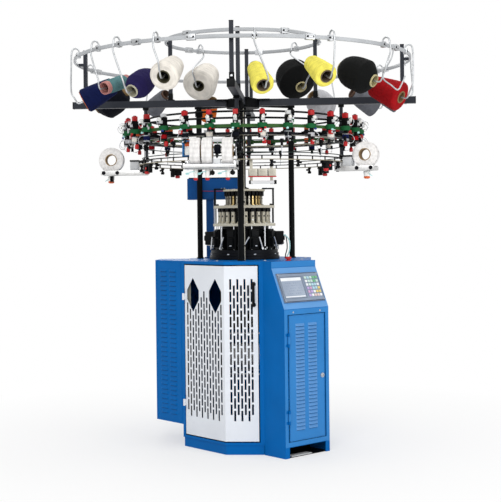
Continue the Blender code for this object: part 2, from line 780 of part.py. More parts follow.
def cam_ring():
    """The cam ring on the table, with the boxes of the selector actuators on it."""
    top = TABLE_LEVEL + CAM_RING_HEIGHT
    ring = [washer(CAM_RING, CAM_RING_BORE, TABLE_LEVEL + SEAT, top)]
    middle = top + ACTUATOR_HEIGHT / 2 - OVERLAP
    for index in range(ACTUATOR_COUNT):
        turn = around(360 * (index + 0.5) / ACTUATOR_COUNT)
        case = (ACTUATOR_WIDTH, ACTUATOR_DEPTH, ACTUATOR_HEIGHT)
        ring.append(block(case, (0, -ACTUATOR_CIRCLE, middle), turn))
        socket = (SOCKET_WIDTH, SOCKET_DEPTH, ACTUATOR_HEIGHT * SOCKET_SHARE)
        ring.append(block(socket, (0, -SOCKET_CIRCLE, middle - SOCKET_DROP), turn))
    keep("cam_ring", joined(ring), BLACK)


def selector_tier(name, plate_radius, bore, level, blade, blade_circle, top, rods=()):
    """A ring plate with a crown of selector blades that stand up to the next plate."""
    pieces = [washer(plate_radius, bore, level, level + HEAD_PLATE_THICK), *rods]
    base = level + HEAD_PLATE_THICK - OVERLAP
    tall = top - SEAT - base
    for index in range(SELECTOR_COUNT):
        turn = around(360 * (index + 0.5) / SELECTOR_COUNT)
        pieces.append(block((*blade, tall), (0, -blade_circle, base + tall / 2), turn))
    keep(name, joined(pieces), CREAM)


def knitting_head():
    needle_cylinder()
    cam_ring()
    foot, head = TABLE_LEVEL + CAM_RING_HEIGHT + SEAT, LOWER_PLATE_LEVEL + OVERLAP
    rods = [
        rod(HEAD_ROD, (0, -HEAD_ROD_CIRCLE, foot), (0, -HEAD_ROD_CIRCLE, head), around(degrees))
        for degrees in HEAD_ROD_ANGLES
    ]
    selector_tier("selector_tier_lower", LOWER_PLATE, LOWER_PLATE_BORE, LOWER_PLATE_LEVEL,
                  LOWER_SELECTOR, LOWER_SELECTOR_CIRCLE, UPPER_PLATE_LEVEL, rods)
    selector_tier("selector_tier_upper", UPPER_PLATE, UPPER_PLATE_BORE, UPPER_PLATE_LEVEL,
                  UPPER_SELECTOR, UPPER_SELECTOR_CIRCLE, TOP_PLATE_LEVEL)

    crown = TOP_PLATE_LEVEL + TOP_PLATE_THICK
    foot = UPPER_PLATE_LEVEL + HEAD_PLATE_THICK + SEAT
    near, far = TOP_PLATE - BRACKET, UPPER_PLATE - OVERLAP
    bracket = [
        (near, crown - OVERLAP),
        (near, crown + BRACKET_THICK),
        (far, crown + BRACKET_THICK),
        (far, foot),
        (far - BRACKET_FOOT, foot),
        (far - BRACKET_FOOT, foot + BRACKET_THICK),
        (far - BRACKET_ARM, foot + BRACKET_THICK),
        (far - BRACKET_ARM, crown - OVERLAP),
    ]
    pieces = [prism(circle(TOP_PLATE), TOP_PLATE_LEVEL, crown)]
    for degrees in (-90, 90):
        place = around(degrees) @ Matrix.Translation((-BRACKET / 2, 0, 0))
        pieces.append(plate(bracket, BRACKET, place @ FACING_OUT))
    keep("head_top_plate", joined(pieces), CREAM)


def drive_column():
    box = block(DRIVE_BOX, DRIVE_BOX_AT)
    foot = TABLE_LEVEL + SEAT
    tall = DRIVE_BOX_AT[2] - DRIVE_BOX[2] / 2 + OVERLAP - foot
    stand = block((*DRIVE_STAND, tall), (*DRIVE_STAND_AT, foot + tall / 2))
    keep("drive_column", joined([box, stand]), BLUE)


def posts():
    low, high = TABLE_LEVEL + SEAT, ARM_LEVEL - ARM / 2 - SEAT
    for name, degrees in (("post_front", 0), ("post_right", 120), ("post_left", -120)):
        post = rod(POST, (0, -POST_CIRCLE, low), (0, -POST_CIRCLE, high), around(degrees), POST_SIDES)
        keep(name, post, BLACK)


def ring_stay(turn, upright, ring, level, tip):
    """An upright on a creel arm, and the stub that reaches from it to the ring."""
    foot = ARM_LEVEL + ARM / 2 - OVERLAP
    tall = level + tip - foot
    pieces = [block((UPRIGHT, UPRIGHT, tall), (0, -upright, foot + tall / 2), turn)]
    facet = STUB_WIDTH / 2 * math.tan(math.pi / HOOP_SIDES)
    start = upright + UPRIGHT / 2 - OVERLAP
    reach = ring - RING_THICK / 2 - facet - SEAT - start
    if reach > OVERLAP:
        pieces.append(block((STUB_WIDTH, reach, STUB_HEIGHT), (0, -start - reach / 2, level), turn))
    return pieces


def creel_frame():
    low, high = ARM_LEVEL - ARM / 2, ARM_LEVEL + ARM / 2
    hub = [prism(circle(HUB), low - HUB_DROP, high)]
    for degrees in (120, -120):
        reach = POST_CIRCLE + POST
        spoke = (ARM, reach, ARM * SPOKE_SHARE)
        hub.append(block(spoke, (0, -reach / 2, low + spoke[2] / 2), around(degrees)))
    keep("creel_hub", joined(hub), BLACK)
    for name, degrees in (("front", 0), ("right", 90), ("back", 180), ("left", -90)):
        turn = around(degrees)
        inner = HUB + SEAT
        foot = LOWER_RING_LEVEL + LOWER_RING_THICK + SEAT
        hang = low + OVERLAP - foot
        pieces = [
            block((ARM, ARM_REACH - inner, ARM), (0, -(ARM_REACH + inner) / 2, ARM_LEVEL), turn),
            *ring_stay(turn, OUTER_UPRIGHT, OUTER_RING, OUTER_RING_LEVEL, OUTER_UPRIGHT_TIP),
            *ring_stay(turn, INNER_UPRIGHT, INNER_RING, INNER_RING_LEVEL, INNER_UPRIGHT_TIP),
            block((HANGER, HANGER, hang), (0, -HANGER_CIRCLE, foot + hang / 2), turn),
        ]
        keep("creel_arm_" + name, joined(pieces), BLACK)


def feeders():
    """Two guide rails, the ring of yarn feeders and the belt that drives them."""
    rail = HANGER_CIRCLE - HANGER / 2 - RAIL - SEAT
    keep("guide_rail_upper", tube(hoop(rail, UPPER_RAIL_LEVEL), RAIL, closed=True), BLACK)
    rail = FEEDER_CIRCLE - FEEDER_BODY - RAIL - SEAT
    keep("guide_rail_lower", tube(hoop(rail, LOWER_RAIL_LEVEL), RAIL, closed=True), BLACK)

    inner = (HANGER_CIRCLE + HANGER / 2 + SEAT) / math.cos(math.pi / HOOP_SIDES)
    outer = inner + FEEDER_RING_WIDTH
    ring_top = FEEDER_RING_LEVEL + FEEDER_RING_THICK
    pieces = [washer(outer, inner, FEEDER_RING_LEVEL, ring_top, HOOP_SIDES)]
    y = -FEEDER_CIRCLE
    bracket_start = outer - OVERLAP
    bracket = FEEDER_CIRCLE - bracket_start
    width, height = FEEDER_BRACKET
    for index in range(FEEDER_COUNT):
        turn = around(360 * index / FEEDER_COUNT)
        low = BELT_LEVEL - PULLEY_WIDTH / 2
        drum_top = FEEDER_BOTTOM + OVERLAP
        pieces += [
            block((width, bracket, height), (0, y + bracket / 2, ring_top - height / 2 + SEAT), turn),
            block(
                (2 * FEEDER_BODY, 2 * FEEDER_BODY, FEEDER_TOP - FEEDER_BOTTOM),
                (0, y, (FEEDER_TOP + FEEDER_BOTTOM) / 2),
                turn,
            ),
            rod(PULLEY, (0, y, low), (0, y, low + PULLEY_WIDTH), turn, COARSEST),
            rod(STORAGE_DRUM, (0, y, drum_top - STORAGE_DRUM_LENGTH), (0, y, drum_top), turn, COARSEST),
        ]
    keep("feeder_ring", joined(pieces), BLACK)
    belt = FEEDER_CIRCLE - PULLEY - SEAT
    low = BELT_LEVEL - BELT_WIDTH / 2
    keep("feeder_belt", washer(belt, belt - BELT_THICK, low, low + BELT_WIDTH, HOOP_SIDES), GREEN)

    inner, outer = LOWER_RING - LOWER_RING_WIDTH / 2, LOWER_RING + LOWER_RING_WIDTH / 2
    low = LOWER_RING_LEVEL
    keep("lower_ring", washer(outer, inner, low, low + LOWER_RING_THICK, HOOP_SIDES), STEEL)


def hoop(radius, level):
    return [(x, y, level) for x, y in circle(radius, HOOP_SIDES)]


def elastane_unit(name, degrees, reach, length, centres):
    """Bobbins of elastane lying on two rollers, on a frame bolted under the lower ring."""
    turn = around(degrees)
    middle = sum(centres) / len(centres)
    drop = math.sqrt((BOBBIN + ROLLER + SEAT) ** 2 - ROLLER_SPREAD**2)
    roller_level = BOBBIN_LEVEL - drop
    foot = LOWER_RING_LEVEL - SEAT
    inner = LOWER_RING - LOWER_RING_WIDTH / 2 + OVERLAP
    end = reach + ROLLER_SPREAD + UNIT_ARM_TIP
    width, height = UNIT_ARM
    riser = foot - roller_level
    pieces = []
    for x in (middle - length / 2, middle + length / 2):
        pieces.append(block((width, end - inner, height), (x, -(end + inner) / 2, roller_level), turn))
        pieces.append(block((width, UNIT_FOOT, riser), (x, -inner - UNIT_FOOT / 2, foot - riser / 2), turn))
    for offset in (-ROLLER_SPREAD, ROLLER_SPREAD):
        start = (middle - length / 2, -reach + offset, roller_level)
        stop = (middle + length / 2, -reach + offset, roller_level)
        pieces.append(rod(ROLLER, start, stop, turn))
    rest = roller_level - GUIDE_DROP
    pieces.append(block((length, *GUIDE_BAR), (middle, -reach, rest), turn))
    pieces.append(rod(GUIDE, (middle, -reach, rest - GUIDE_LENGTH), (middle, -reach, rest), turn, COARSEST))
    keep("elastane_unit_" + name, joined(pieces), LIGHT_GREY)
    for index, x in enumerate(centres):
        spin = turn @ Matrix.Translation((x, -reach, BOBBIN_LEVEL)) @ Matrix.Rotation(math.pi / 2, 4, "Y")
        half = BOBBIN_WIDTH / 2
        bobbin = washer(BOBBIN, BOBBIN_BORE, -half, half)
        bobbin.data.transform(spin)
        suffix = f"_{index + 1}" if len(centres) > 1 else ""
        keep(f"elastane_bobbin_{name}{suffix}", bobbin, YARN_WHITE, spin.translation)


def hook(ring, ring_level, ring_degrees, frame, side, big):
    """A clamp on a creel ring and a bent rod that ends in the core of a cone."""
    turn = around(ring_degrees)
    clamp_at = turn @ Vector((0, -ring, ring_level))
    out = turn.to_3x3() @ Vector((0, -side, 0))
    up = Vector((0, 0, 1))
    along = frame.to_3x3() @ Vector((0, 0, 1))
    face = frame.translation
    bow = 2 * RING_HEIGHT
    entry = face - along * bow
    over_rim = (up - along * along.z).normalized() * (big + RING_HEIGHT)
    route = [
        clamp_at,
        clamp_at + up * bow * 0.8,
        clamp_at + out * bow * 0.5 + up * bow,
        clamp_at + out * bow + up * bow * 0.55,
        clamp_at + out * bow - up * bow * 0.8,
        entry + over_rim,
        entry,
        face + along * (CORE_START + 2 * HOOK_ROD),
    ]
    clamp = (CLAMP_LENGTH, RING_THICK + 2 * CLAMP_MARGIN, RING_HEIGHT + 2 * CLAMP_MARGIN)
    core = TUBE_BORE - 2 * SEAT
    return [
        block(clamp, (0, -ring, ring_level), turn),
        tube(route, HOOK_ROD),
        rod(core, (0, 0, CORE_START), (0, 0, CORE_REACH), frame, CONE_SIDES // 2),
    ]


def cone_profile(style, big, length):
    """Half the section of a cone, from its small end down the outside and up the bore."""
    top = length - YARN_STEP
    bore = [(TUBE_BORE, 0), (TUBE_BORE, CORE_REACH + OVERLAP), (0, CORE_REACH + OVERLAP)]
    if style == "cone":
        wall = [
            (TUBE, length), (TUBE, top), (big * 0.72, top - OVERLAP), (big, 1.4 * YARN_STEP), (big - YARN_STEP, 0),
        ]
    elif style == "package":
        wall = [
            (TUBE, length), (TUBE, top), (big * 0.55, top - OVERLAP), (big * 0.96, length - 5.5 * YARN_STEP),
            (big, 5 * YARN_STEP), (TUBE + YARN_STEP, 0.6 * YARN_STEP), (TUBE, 0.6 * YARN_STEP), (TUBE, 0),
        ]
    else:
        wall = [
            (TUBE, length), (TUBE, length - 2 * YARN_STEP), (big, length - 3.5 * YARN_STEP),
            (big, 3 * YARN_STEP), (TUBE, 2 * YARN_STEP), (TUBE, 0),
        ]
    return [(0, length), *wall, *bore]


# Each cone: name, style, colour, ring, angle of its hook, then the angle of its big end, how far
# that lies inside and below the ring, yaw and tilt of its axis, big radius, length
OUTER, INNER = "outer", "inner"
RINGS = {OUTER: (OUTER_RING, OUTER_RING_LEVEL, 1), INNER: (INNER_RING, INNER_RING_LEVEL, -1)}
CONES = (
    ("cone_blue_left", "cone", (40, 70, 160), OUTER, -66, -66, 0.025, 0.2300, -18, 28, 0.062, 0.180),
    ("tube_teal", "tube", (80, 150, 160), OUTER, -49, -47, 0.015, 0.1930, 14, 18, 0.034, 0.170),
    ("cone_violet", "package", (55, 45, 130), OUTER, -38, -35, 0.035, 0.2200, 4, 32, 0.062, 0.180),
    ("cone_white_left", "cone", (228, 224, 215), OUTER, -23, -22, 0.025, 0.1690, 8, 27, 0.070, 0.170),
    ("cone_yellow_left", "cone", (244, 232, 110), OUTER, 7, 10, 0.055, 0.2180, 10, 38, 0.053, 0.170),
    ("cone_yellow_right", "cone", (244, 232, 110), OUTER, 31, 31, 0.035, 0.1720, 0, 30, 0.057, 0.170),
    ("package_black_right", "package", (45, 45, 50), OUTER, 54, 52, 0.035, 0.1730, 8, 24, 0.084, 0.200),
    ("cone_red", "cone", (190, 25, 35), OUTER, 72, 72, 0.025, 0.2270, -12, 24, 0.075, 0.180),
    ("cone_grey_right", "cone", (110, 112, 118), OUTER, 101, 100, 0.025, 0.2100, -8, 27, 0.066, 0.170),
    ("cone_grey_far", "cone", (110, 112, 118), OUTER, 123, 122, 0.025, 0.2040, -8, 27, 0.066, 0.170),
    ("package_grey_back", "package", (190, 190, 195), OUTER, 148, 147, 0.035, 0.2070, 0, 27, 0.080, 0.190),
    ("cone_orange_back", "cone", (225, 110, 40), OUTER, -163, -162, 0.025, 0.2140, 0, 30, 0.050, 0.170),
    ("cone_grey_left", "cone", (120, 122, 128), OUTER, -139, -138, 0.025, 0.1820, 0, 27, 0.055, 0.170),
    ("package_black_left", "package", (32, 34, 48), OUTER, -106, -106, 0.025, 0.2070, 0, 27, 0.090, 0.200),
    ("cone_white_right", "cone", (228, 224, 215), INNER, -140, -128, 0.084, 0.2045, 112, 30, 0.093, 0.180),
    ("package_black_middle", "package", (45, 45, 50), INNER, 136, 123, 0.039, 0.2205, -95, 36, 0.105, 0.200),
)


def cone_frame(ring, degrees, inside, below, yaw, tilt):
    """A cone's frame: origin at the centre of its big end, Z along its axis to the small end."""
    radius, level, _ = RINGS[ring]
    return (
        around(degrees)
        @ Matrix.Translation((0, inside - radius, level - below))
        @ Matrix.Rotation(math.radians(yaw), 4, "Z")
        @ Matrix.Rotation(math.radians(tilt - 90), 4, "X")
    )


def creel_rings():
    for ring_name, (radius, level, side) in RINGS.items():
        low = level - RING_HEIGHT / 2
        outer, inner = radius + RING_THICK / 2, radius - RING_THICK / 2
        pieces = [washer(outer, inner, low, low + RING_HEIGHT, HOOP_SIDES)]
        for _, _, _, ring, hook_at, *place, big, _ in CONES:
            if ring == ring_name:
                pieces += hook(radius, level, hook_at, cone_frame(ring, *place), side, big)
        keep("creel_ring_" + ring_name, joined(pieces), LIGHT_GREY)


def cones():
    for name, style, colour, ring, _, *place, big, length in CONES:
        cone = turned(cone_profile(style, big, length), cone_frame(ring, *place), CONE_SIDES)
        keep(name, cone, finish(name + "_yarn", colour, 0.9))


def take_down():
    """The frame that turns with the cylinder and winds up the fabric tube."""
    top = TABLE_LEVEL - CYLINDER_BELOW_TABLE - SEAT
    plate_x = TAKE_DOWN_WIDTH / 2
    outer, inner, thick = TAKE_DOWN_FLANGE
    depth, height = CROSS_BAR
    pieces = [washer(outer, inner, top - thick, top)]
    bar_level = top - thick + OVERLAP - height / 2
    for y in (-CROSS_BAR_OFFSET, CROSS_BAR_OFFSET):
        pieces.append(block((TAKE_DOWN_WIDTH + 2 * TAKE_DOWN_PLATE, depth, height), (0, y, bar_level)))
    tall = bar_level - TAKE_DOWN_BOTTOM
    for x in (-plate_x, plate_x):
        cheek = (TAKE_DOWN_PLATE, TAKE_DOWN_DEPTH, tall)
        pieces.append(block(cheek, (x, 0, TAKE_DOWN_BOTTOM + tall / 2)))
    for y, level in DRAW_ROLLERS:
        pieces.append(rod(DRAW_ROLLER, (-plate_x, y, level), (plate_x, y, level)))
    keep("take_down_frame", joined(pieces), DARK)
    reach = plate_x - TAKE_DOWN_PLATE / 2 - SEAT
    fabric = reach - FABRIC_ROLL_END
    level = FABRIC_ROLL_LEVEL
    roll = joined([
        rod(FABRIC_ROLL, (-fabric, 0, level), (fabric, 0, level), sides=ROLL_SIDES),
        rod(FABRIC_SHAFT, (-reach, 0, level), (reach, 0, level)),
    ])
    keep("fabric_roll", roll, YARN_WHITE)


base_cabinet()
front_door()
console()
side_cabinet()
knitting_head()
drive_column()
posts()
creel_frame()
feeders()
elastane_unit("left", -90, 0.700, SIDE_UNIT_LENGTH, (0.0,))
elastane_unit("right", 72, 0.665, SIDE_UNIT_LENGTH, (0.0,))
elastane_unit("front", 0, 0.660, FRONT_UNIT_LENGTH, (-0.187, -0.131, -0.035))
creel_rings()
cones()
take_down()

bpy.data.collections.remove(workbench)
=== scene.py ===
import math

import bmesh
import bpy
from mathutils import Matrix, Vector, noise


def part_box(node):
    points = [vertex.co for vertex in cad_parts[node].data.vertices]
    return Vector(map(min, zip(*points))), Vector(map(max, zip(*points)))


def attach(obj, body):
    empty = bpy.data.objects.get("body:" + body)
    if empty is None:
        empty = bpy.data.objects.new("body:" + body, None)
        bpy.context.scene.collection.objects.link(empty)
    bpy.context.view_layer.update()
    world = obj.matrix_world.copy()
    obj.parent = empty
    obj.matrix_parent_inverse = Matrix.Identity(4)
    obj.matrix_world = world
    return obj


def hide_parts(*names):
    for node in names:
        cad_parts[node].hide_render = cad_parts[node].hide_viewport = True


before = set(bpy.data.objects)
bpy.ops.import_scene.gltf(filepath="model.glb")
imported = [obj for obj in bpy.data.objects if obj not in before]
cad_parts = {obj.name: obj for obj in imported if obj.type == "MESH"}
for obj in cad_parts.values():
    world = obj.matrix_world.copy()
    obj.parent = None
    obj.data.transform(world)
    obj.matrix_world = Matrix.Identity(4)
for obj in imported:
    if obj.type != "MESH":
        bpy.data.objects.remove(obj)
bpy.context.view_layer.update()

# The photograph's camera: level, on a circle round the machine's axis
PHOTO_HEIGHT = 502
CAMERA_DISTANCE = 6.1355
CAMERA_LEVEL = 1.1415
CAMERA_AZIMUTH = 3.42
CAMERA_ROLL = 0.65
FOCAL_PIXELS = 1164.7
SENSOR = 36.0
AXIS_OFFSET = 6.23
HORIZON_OFFSET = -29.4

# Base and console, as the solids have them
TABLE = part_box("table_top")[1].z
BASE_SHIFT = 0.019
FRONT = 0.442
CORNER = 0.096
SIDE = 0.329
FACET = 0.312
DOOR_RIGHT_FACET = 0.165
CONSOLE_WIDTH = 0.302
CONSOLE_DEPTH = 0.147
CONSOLE_MIDDLE = 0.151
FACE_TOP = 0.716
SLOPE_TOP = 0.914
SLOPE_RUN = 0.088
FASCIA_HALF = 0.138
FASCIA_MARGIN = 0.0128
DOOR_MIDDLE = 0.383

# Slots of the perforated door
SLOT_WIDTH = 0.0085
SLOT_LENGTH = 0.05
SLOT_ROW = 0.0613
SLOT_LOWEST = 0.16
SLOT_PITCH = 0.0216
SLOT_FIRST = 0.028
# Width of the dark strips of painted shade that line each slot, and how far past its edge they reach
SHADE_STRIP = 0.0009
SHADE_OVERHANG = 0.0006

# Posts, arms and rings
RING = {"outer": (0.875, 1.982), "inner": (0.404, 2.0885)}
RING_HEIGHT = 0.018
RING_THICK = 0.012
ARM_LEVEL = 1.767
ARM = 0.035
ARM_TOP = ARM_LEVEL + ARM / 2
ARM_FOOT = ARM_LEVEL - ARM / 2
POST_CIRCLE = 0.286
HANGER_CIRCLE = 0.515
WIRE_CIRCLE = 0.53
GUIDE_CIRCLE = 0.47
LOWER_CIRCLE = 0.536
HOOK_ROD = 0.0042

# Yarn packages, feeders and elastane bobbins
TUBE = 0.031
TUBE_BORE = 0.0265
FEEDER_COUNT = 30
FEEDER_CIRCLE = 0.61
BELT_LEVEL = 1.6
BOBBIN = 0.066
BOBBIN_BORE = 0.027
BOBBIN_WIDTH = 0.05
BOBBIN_LEVEL = 1.474
ROLLER = 0.011
ROLLER_SPREAD = 0.036

# Take-down inside the base
CHEEK = 0.125
DRAW_ROLLERS = ((-0.022, 0.64), (0.022, 0.64), (0.0, 0.6))
CLOTH_ROLL_LEVEL = 0.44

MACHINE, TAKE_DOWN, FRONT_DOOR, CONSOLE_DOOR = "machine", "cylinder", "front_door", "console_door"
QUARTERS = (0, 90, 180, 270)
DIAGONAL = math.sqrt(0.5)


# Materials

def linear(red, green, blue):
    shares = [value / 255 for value in (red, green, blue)]
    return tuple(s / 12.92 if s <= 0.04045 else ((s + 0.055) / 1.055) ** 2.4 for s in shares)


def shade(colour, factor):
    return tuple(min(1.0, channel * factor) for channel in colour)


class Nodes:
    """The node tree of a material or world, with short names for the nodes that are used here."""

    def __init__(self, owner, **values):
        owner.use_nodes = True
        self.owner, self.tree = owner, owner.node_tree
        self.shader = self.tree.nodes.get("Principled BSDF")
        self.set(**values)

    def set(self, **values):
        for key, value in values.items():
            self.shader.inputs[key.replace("_", " ")].default_value = value

    def add(self, kind, **settings):
        node = self.tree.nodes.new(kind)
        for key, value in settings.items():
            setattr(node, key, value)
        return node

    def link(self, source, target):
        self.tree.links.new(source, target)

    def position(self):
        return self.add("ShaderNodeTexCoord").outputs["Object"]

    def noise(self, scale, detail=3.0, roughness=0.5, stretch=None):
        texture = self.add("ShaderNodeTexNoise")
        for key, value in (("Scale", scale), ("Detail", detail), ("Roughness", roughness)):
            texture.inputs[key].default_value = value
        source = self.position()
        if stretch is not None:
            mapping = self.add("ShaderNodeMapping")
            mapping.inputs["Scale"].default_value = stretch
            self.link(source, mapping.inputs["Vector"])
            source = mapping.outputs["Vector"]
        self.link(source, texture.inputs["Vector"])
        return texture.outputs["Fac"]

    def colour(self, source, low, high, start=0.3, stop=0.7):
        """Takes the base colour from one tone to another along a grey texture."""
        ramp = self.add("ShaderNodeValToRGB")
        for element, place, tone in zip(ramp.color_ramp.elements, (start, stop), (low, high)):
            element.position, element.color = place, (*tone, 1)
        self.link(source, ramp.inputs["Fac"])
        self.link(ramp.outputs["Color"], self.shader.inputs["Base Color"])

    def roughness(self, source, low, high):
        mapped = self.add("ShaderNodeMapRange")
        mapped.inputs["To Min"].default_value = low
        mapped.inputs["To Max"].default_value = high
        self.link(source, mapped.inputs["Value"])
        self.link(mapped.outputs["Result"], self.shader.inputs["Roughness"])

    def math(self, operation, first, second=None):
        node = self.add("ShaderNodeMath", operation=operation)
        for socket, value in zip(node.inputs, (first, second)):
            if isinstance(value, (int, float)):
                socket.default_value = value
            elif value is not None:
                self.link(value, socket)
        return node.outputs[0]

    def bump(self, source, distance, strength=1.0):
        node = self.add("ShaderNodeBump")
        node.inputs["Distance"].default_value = distance
        node.inputs["Strength"].default_value = strength
        self.link(source, node.inputs["Height"])
        self.link(node.outputs["Normal"], self.shader.inputs["Normal"])

    def looked_at(self):
        """1 for the camera and what it sees in gloss and glass, 0 for light that falls on things."""
        path = self.add("ShaderNodeLightPath").outputs
        unseen = self.math("MAXIMUM", path["Is Glossy Ray"], path["Is Transmission Ray"])
        return self.math("MAXIMUM", path["Is Camera Ray"], unseen)

    def mix(self, share, first, second, output):
        blend = self.add("ShaderNodeMixShader")
        for source, target in ((share, blend.inputs["Fac"]), (first, blend.inputs[1]),
                               (second, blend.inputs[2]),
                               (blend.outputs["Shader"], output.inputs["Surface"])):
            self.link(source, target)


def finish(name, **values):
    return Nodes(bpy.data.materials.new(name), **values)


def paint(name, colour, roughness=0.38, wear=0.08, gloss=0.25):
    """Powder coat: fine orange peel, and faint clouds of dust and handling."""
    nodes, base = finish(name, Specular_IOR_Level=gloss), linear(*colour)
    nodes.colour(nodes.noise(5.0, 5.0), shade(base, 1 - wear), shade(base, 1 + wear))
    nodes.roughness(nodes.noise(14.0, 4.0), roughness - 0.06, roughness + 0.10)
    nodes.bump(nodes.noise(700.0, 2.0), 0.00008)
    return nodes.owner


def metal(name, colour, roughness=0.32, stretch=(30.0, 30.0, 600.0)):
    """Machined metal with fine tool marks."""
    nodes, base = finish(name, Metallic=1.0), linear(*colour)
    marks = nodes.noise(1.0, 4.0, 0.6, stretch)
    nodes.colour(marks, shade(base, 0.82), shade(base, 1.08))
    nodes.roughness(marks, roughness - 0.08, roughness + 0.12)
    nodes.bump(marks, 0.00004)
    return nodes.owner


def plastic(name, colour, roughness=0.45, grain=900.0, gloss=0.35):
    """Moulded plastic with a spark-eroded grain."""
    nodes, base = finish(name, Specular_IOR_Level=gloss), linear(*colour)
    nodes.colour(nodes.noise(9.0, 3.0), shade(base, 0.9), shade(base, 1.08))
    nodes.roughness(nodes.noise(40.0, 3.0), roughness - 0.05, roughness + 0.08)
    nodes.bump(nodes.noise(grain, 1.0), 0.00006)
    return nodes.owner


def yarn(name, colour, pitch=0.0016, crossings=3.0):
    """Cross-wound yarn: two sets of helical threads round the piece's own Z axis, and fuzz."""
    base = linear(*colour)
    nodes = finish(name, Roughness=0.92, Sheen_Weight=0.12, Sheen_Roughness=0.5, Specular_IOR_Level=0.15,
                   Sheen_Tint=(*shade(base, 1.5), 1))
    split = nodes.add("ShaderNodeSeparateXYZ")
    nodes.link(nodes.position(), split.inputs[0])
    angle = nodes.math("ARCTAN2", split.outputs["Y"], split.outputs["X"])
    climb = nodes.math("MULTIPLY", split.outputs["Z"], math.tau / pitch)
    turns = nodes.math("MULTIPLY", angle, crossings)
    up = nodes.math("SINE", nodes.math("ADD", climb, turns))
    down = nodes.math("SINE", nodes.math("SUBTRACT", climb, turns))
    threads = nodes.math("MAXIMUM", up, down)
    height = nodes.math("ADD", threads, nodes.math("MULTIPLY", nodes.noise(260.0, 4.0, 0.7), 1.2))
    tone = nodes.math("ADD", nodes.math("MULTIPLY", threads, 0.12),
                      nodes.noise(22.0, 3.0, 0.5, (1.0, 1.0, 3.0)))
    nodes.colour(tone, shade(base, 0.78), shade(base, 1.12), 0.25, 0.75)
    nodes.bump(height, 0.0003, 0.8)
    return nodes.owner


def cardboard(name, colour):
    nodes, base = finish(name, Roughness=0.85), linear(*colour)
    fibres = nodes.noise(60.0, 5.0, 0.6, (1.0, 1.0, 6.0))
    nodes.colour(fibres, shade(base, 0.7), shade(base, 1.1))
    nodes.bump(fibres, 0.0002)
    return nodes.owner


def display(name):
    """A grey liquid-crystal display behind its cover."""
    nodes = finish(name, Roughness=0.18, Coat_Weight=0.6, Coat_Roughness=0.05)
    nodes.colour(nodes.noise(6.0, 2.0), linear(128, 143, 165), linear(160, 172, 190))
    nodes.bump(nodes.noise(1500.0, 1.0), 0.00002)
    return nodes.owner


BLUE = paint("blue_powder_coat", (0, 98, 172), 0.42, 0.06, 0.07)
DEEP_BLUE = paint("deep_blue_paint", (16, 82, 150), 0.42, 0.1, 0.12)
LIGHT_BLUE = paint("light_blue_powder_coat", (44, 124, 192), 0.4, 0.05, 0.2)
# The console's slope sheets get a lighter copy of its blue: a painted highlight for the slope that faces up
# to the light.
LIT_SLOPE_BLUE = paint("slope_blue_painted_highlight", (96, 153, 211), 0.4, 0.04, 0.2)
# The louvre hoods get a lighter copy of the console door's blue: a painted highlight where they catch light
# from above.
LIT_HOOD_BLUE = paint("louvre_hood_painted_highlight", (84, 140, 198), 0.4, 0.05, 0.25)
WHITE = paint("white_powder_coat", (226, 230, 236), 0.4, 0.03)
BLACK = paint("black_powder_coat", (7, 9, 11), 0.45, 0.25, 0.07)
CHARCOAL = paint("charcoal_powder_coat", (46, 49, 56), 0.42, 0.12, 0.12)
CREAM = paint("cream_anodised", (199, 193, 174), 0.42, 0.12)
PUTTY = paint("putty_paint", (138, 138, 128), 0.5, 0.1, 0.2)
TAN = paint("tan_anodised", (150, 143, 122), 0.45, 0.16)
RING_PAINT = paint("ring_grey_paint", (176, 179, 182), 0.38, 0.14)
DARK_GREEN = paint("dark_green_paint", (26, 44, 40), 0.4, 0.12, 0.15)
DARK_STEEL = metal("blackened_steel", (26, 27, 30), 0.42)
STEEL = metal("bright_steel", (196, 198, 202), 0.28)
DULL_STEEL = metal("dull_steel", (176, 172, 160), 0.4, (60.0, 60.0, 400.0))
ALUMINIUM = metal("aluminium", (205, 205, 204), 0.36, (400.0, 30.0, 30.0))
ZINC = metal("zinc_plate", (188, 190, 192), 0.42, (60.0, 60.0, 60.0))
BRASS = metal("brass", (216, 190, 132), 0.34)
INK = plastic("black_plastic", (7, 8, 10), 0.45, 900.0, 0.10)
RED = plastic("red_plastic", (182, 18, 22), 0.4)
ORANGE = plastic("orange_plastic", (214, 92, 34), 0.4)
GREEN = plastic("green_belt", (20, 88, 48), 0.6, 400.0, 0.15)
OLIVE = plastic("olive_belt", (58, 96, 50), 0.6, 400.0, 0.15)
GREY = plastic("grey_fascia", (134, 147, 166), 0.5, 900.0, 0.25)
DARK_GREY = plastic("dark_grey_edge", (74, 86, 108), 0.5, 900.0, 0.2)
PALE = plastic("pale_plastic", (208, 210, 212), 0.42)
CERAMIC = plastic("white_ceramic", (236, 236, 232), 0.15, 200.0)
DISPLAY_WHITE = plastic("display_white", (236, 240, 244), 0.2)
DISPLAY_LINES = plastic("display_lines", (146, 159, 180), 0.2)
BLUE_LENS = plastic("blue_lens", (24, 50, 130), 0.2)
CYAN_LENS = plastic("cyan_lens", (176, 226, 224), 0.15)
SCREEN = display("display")
CARD = cardboard("cardboard", (150, 122, 82))

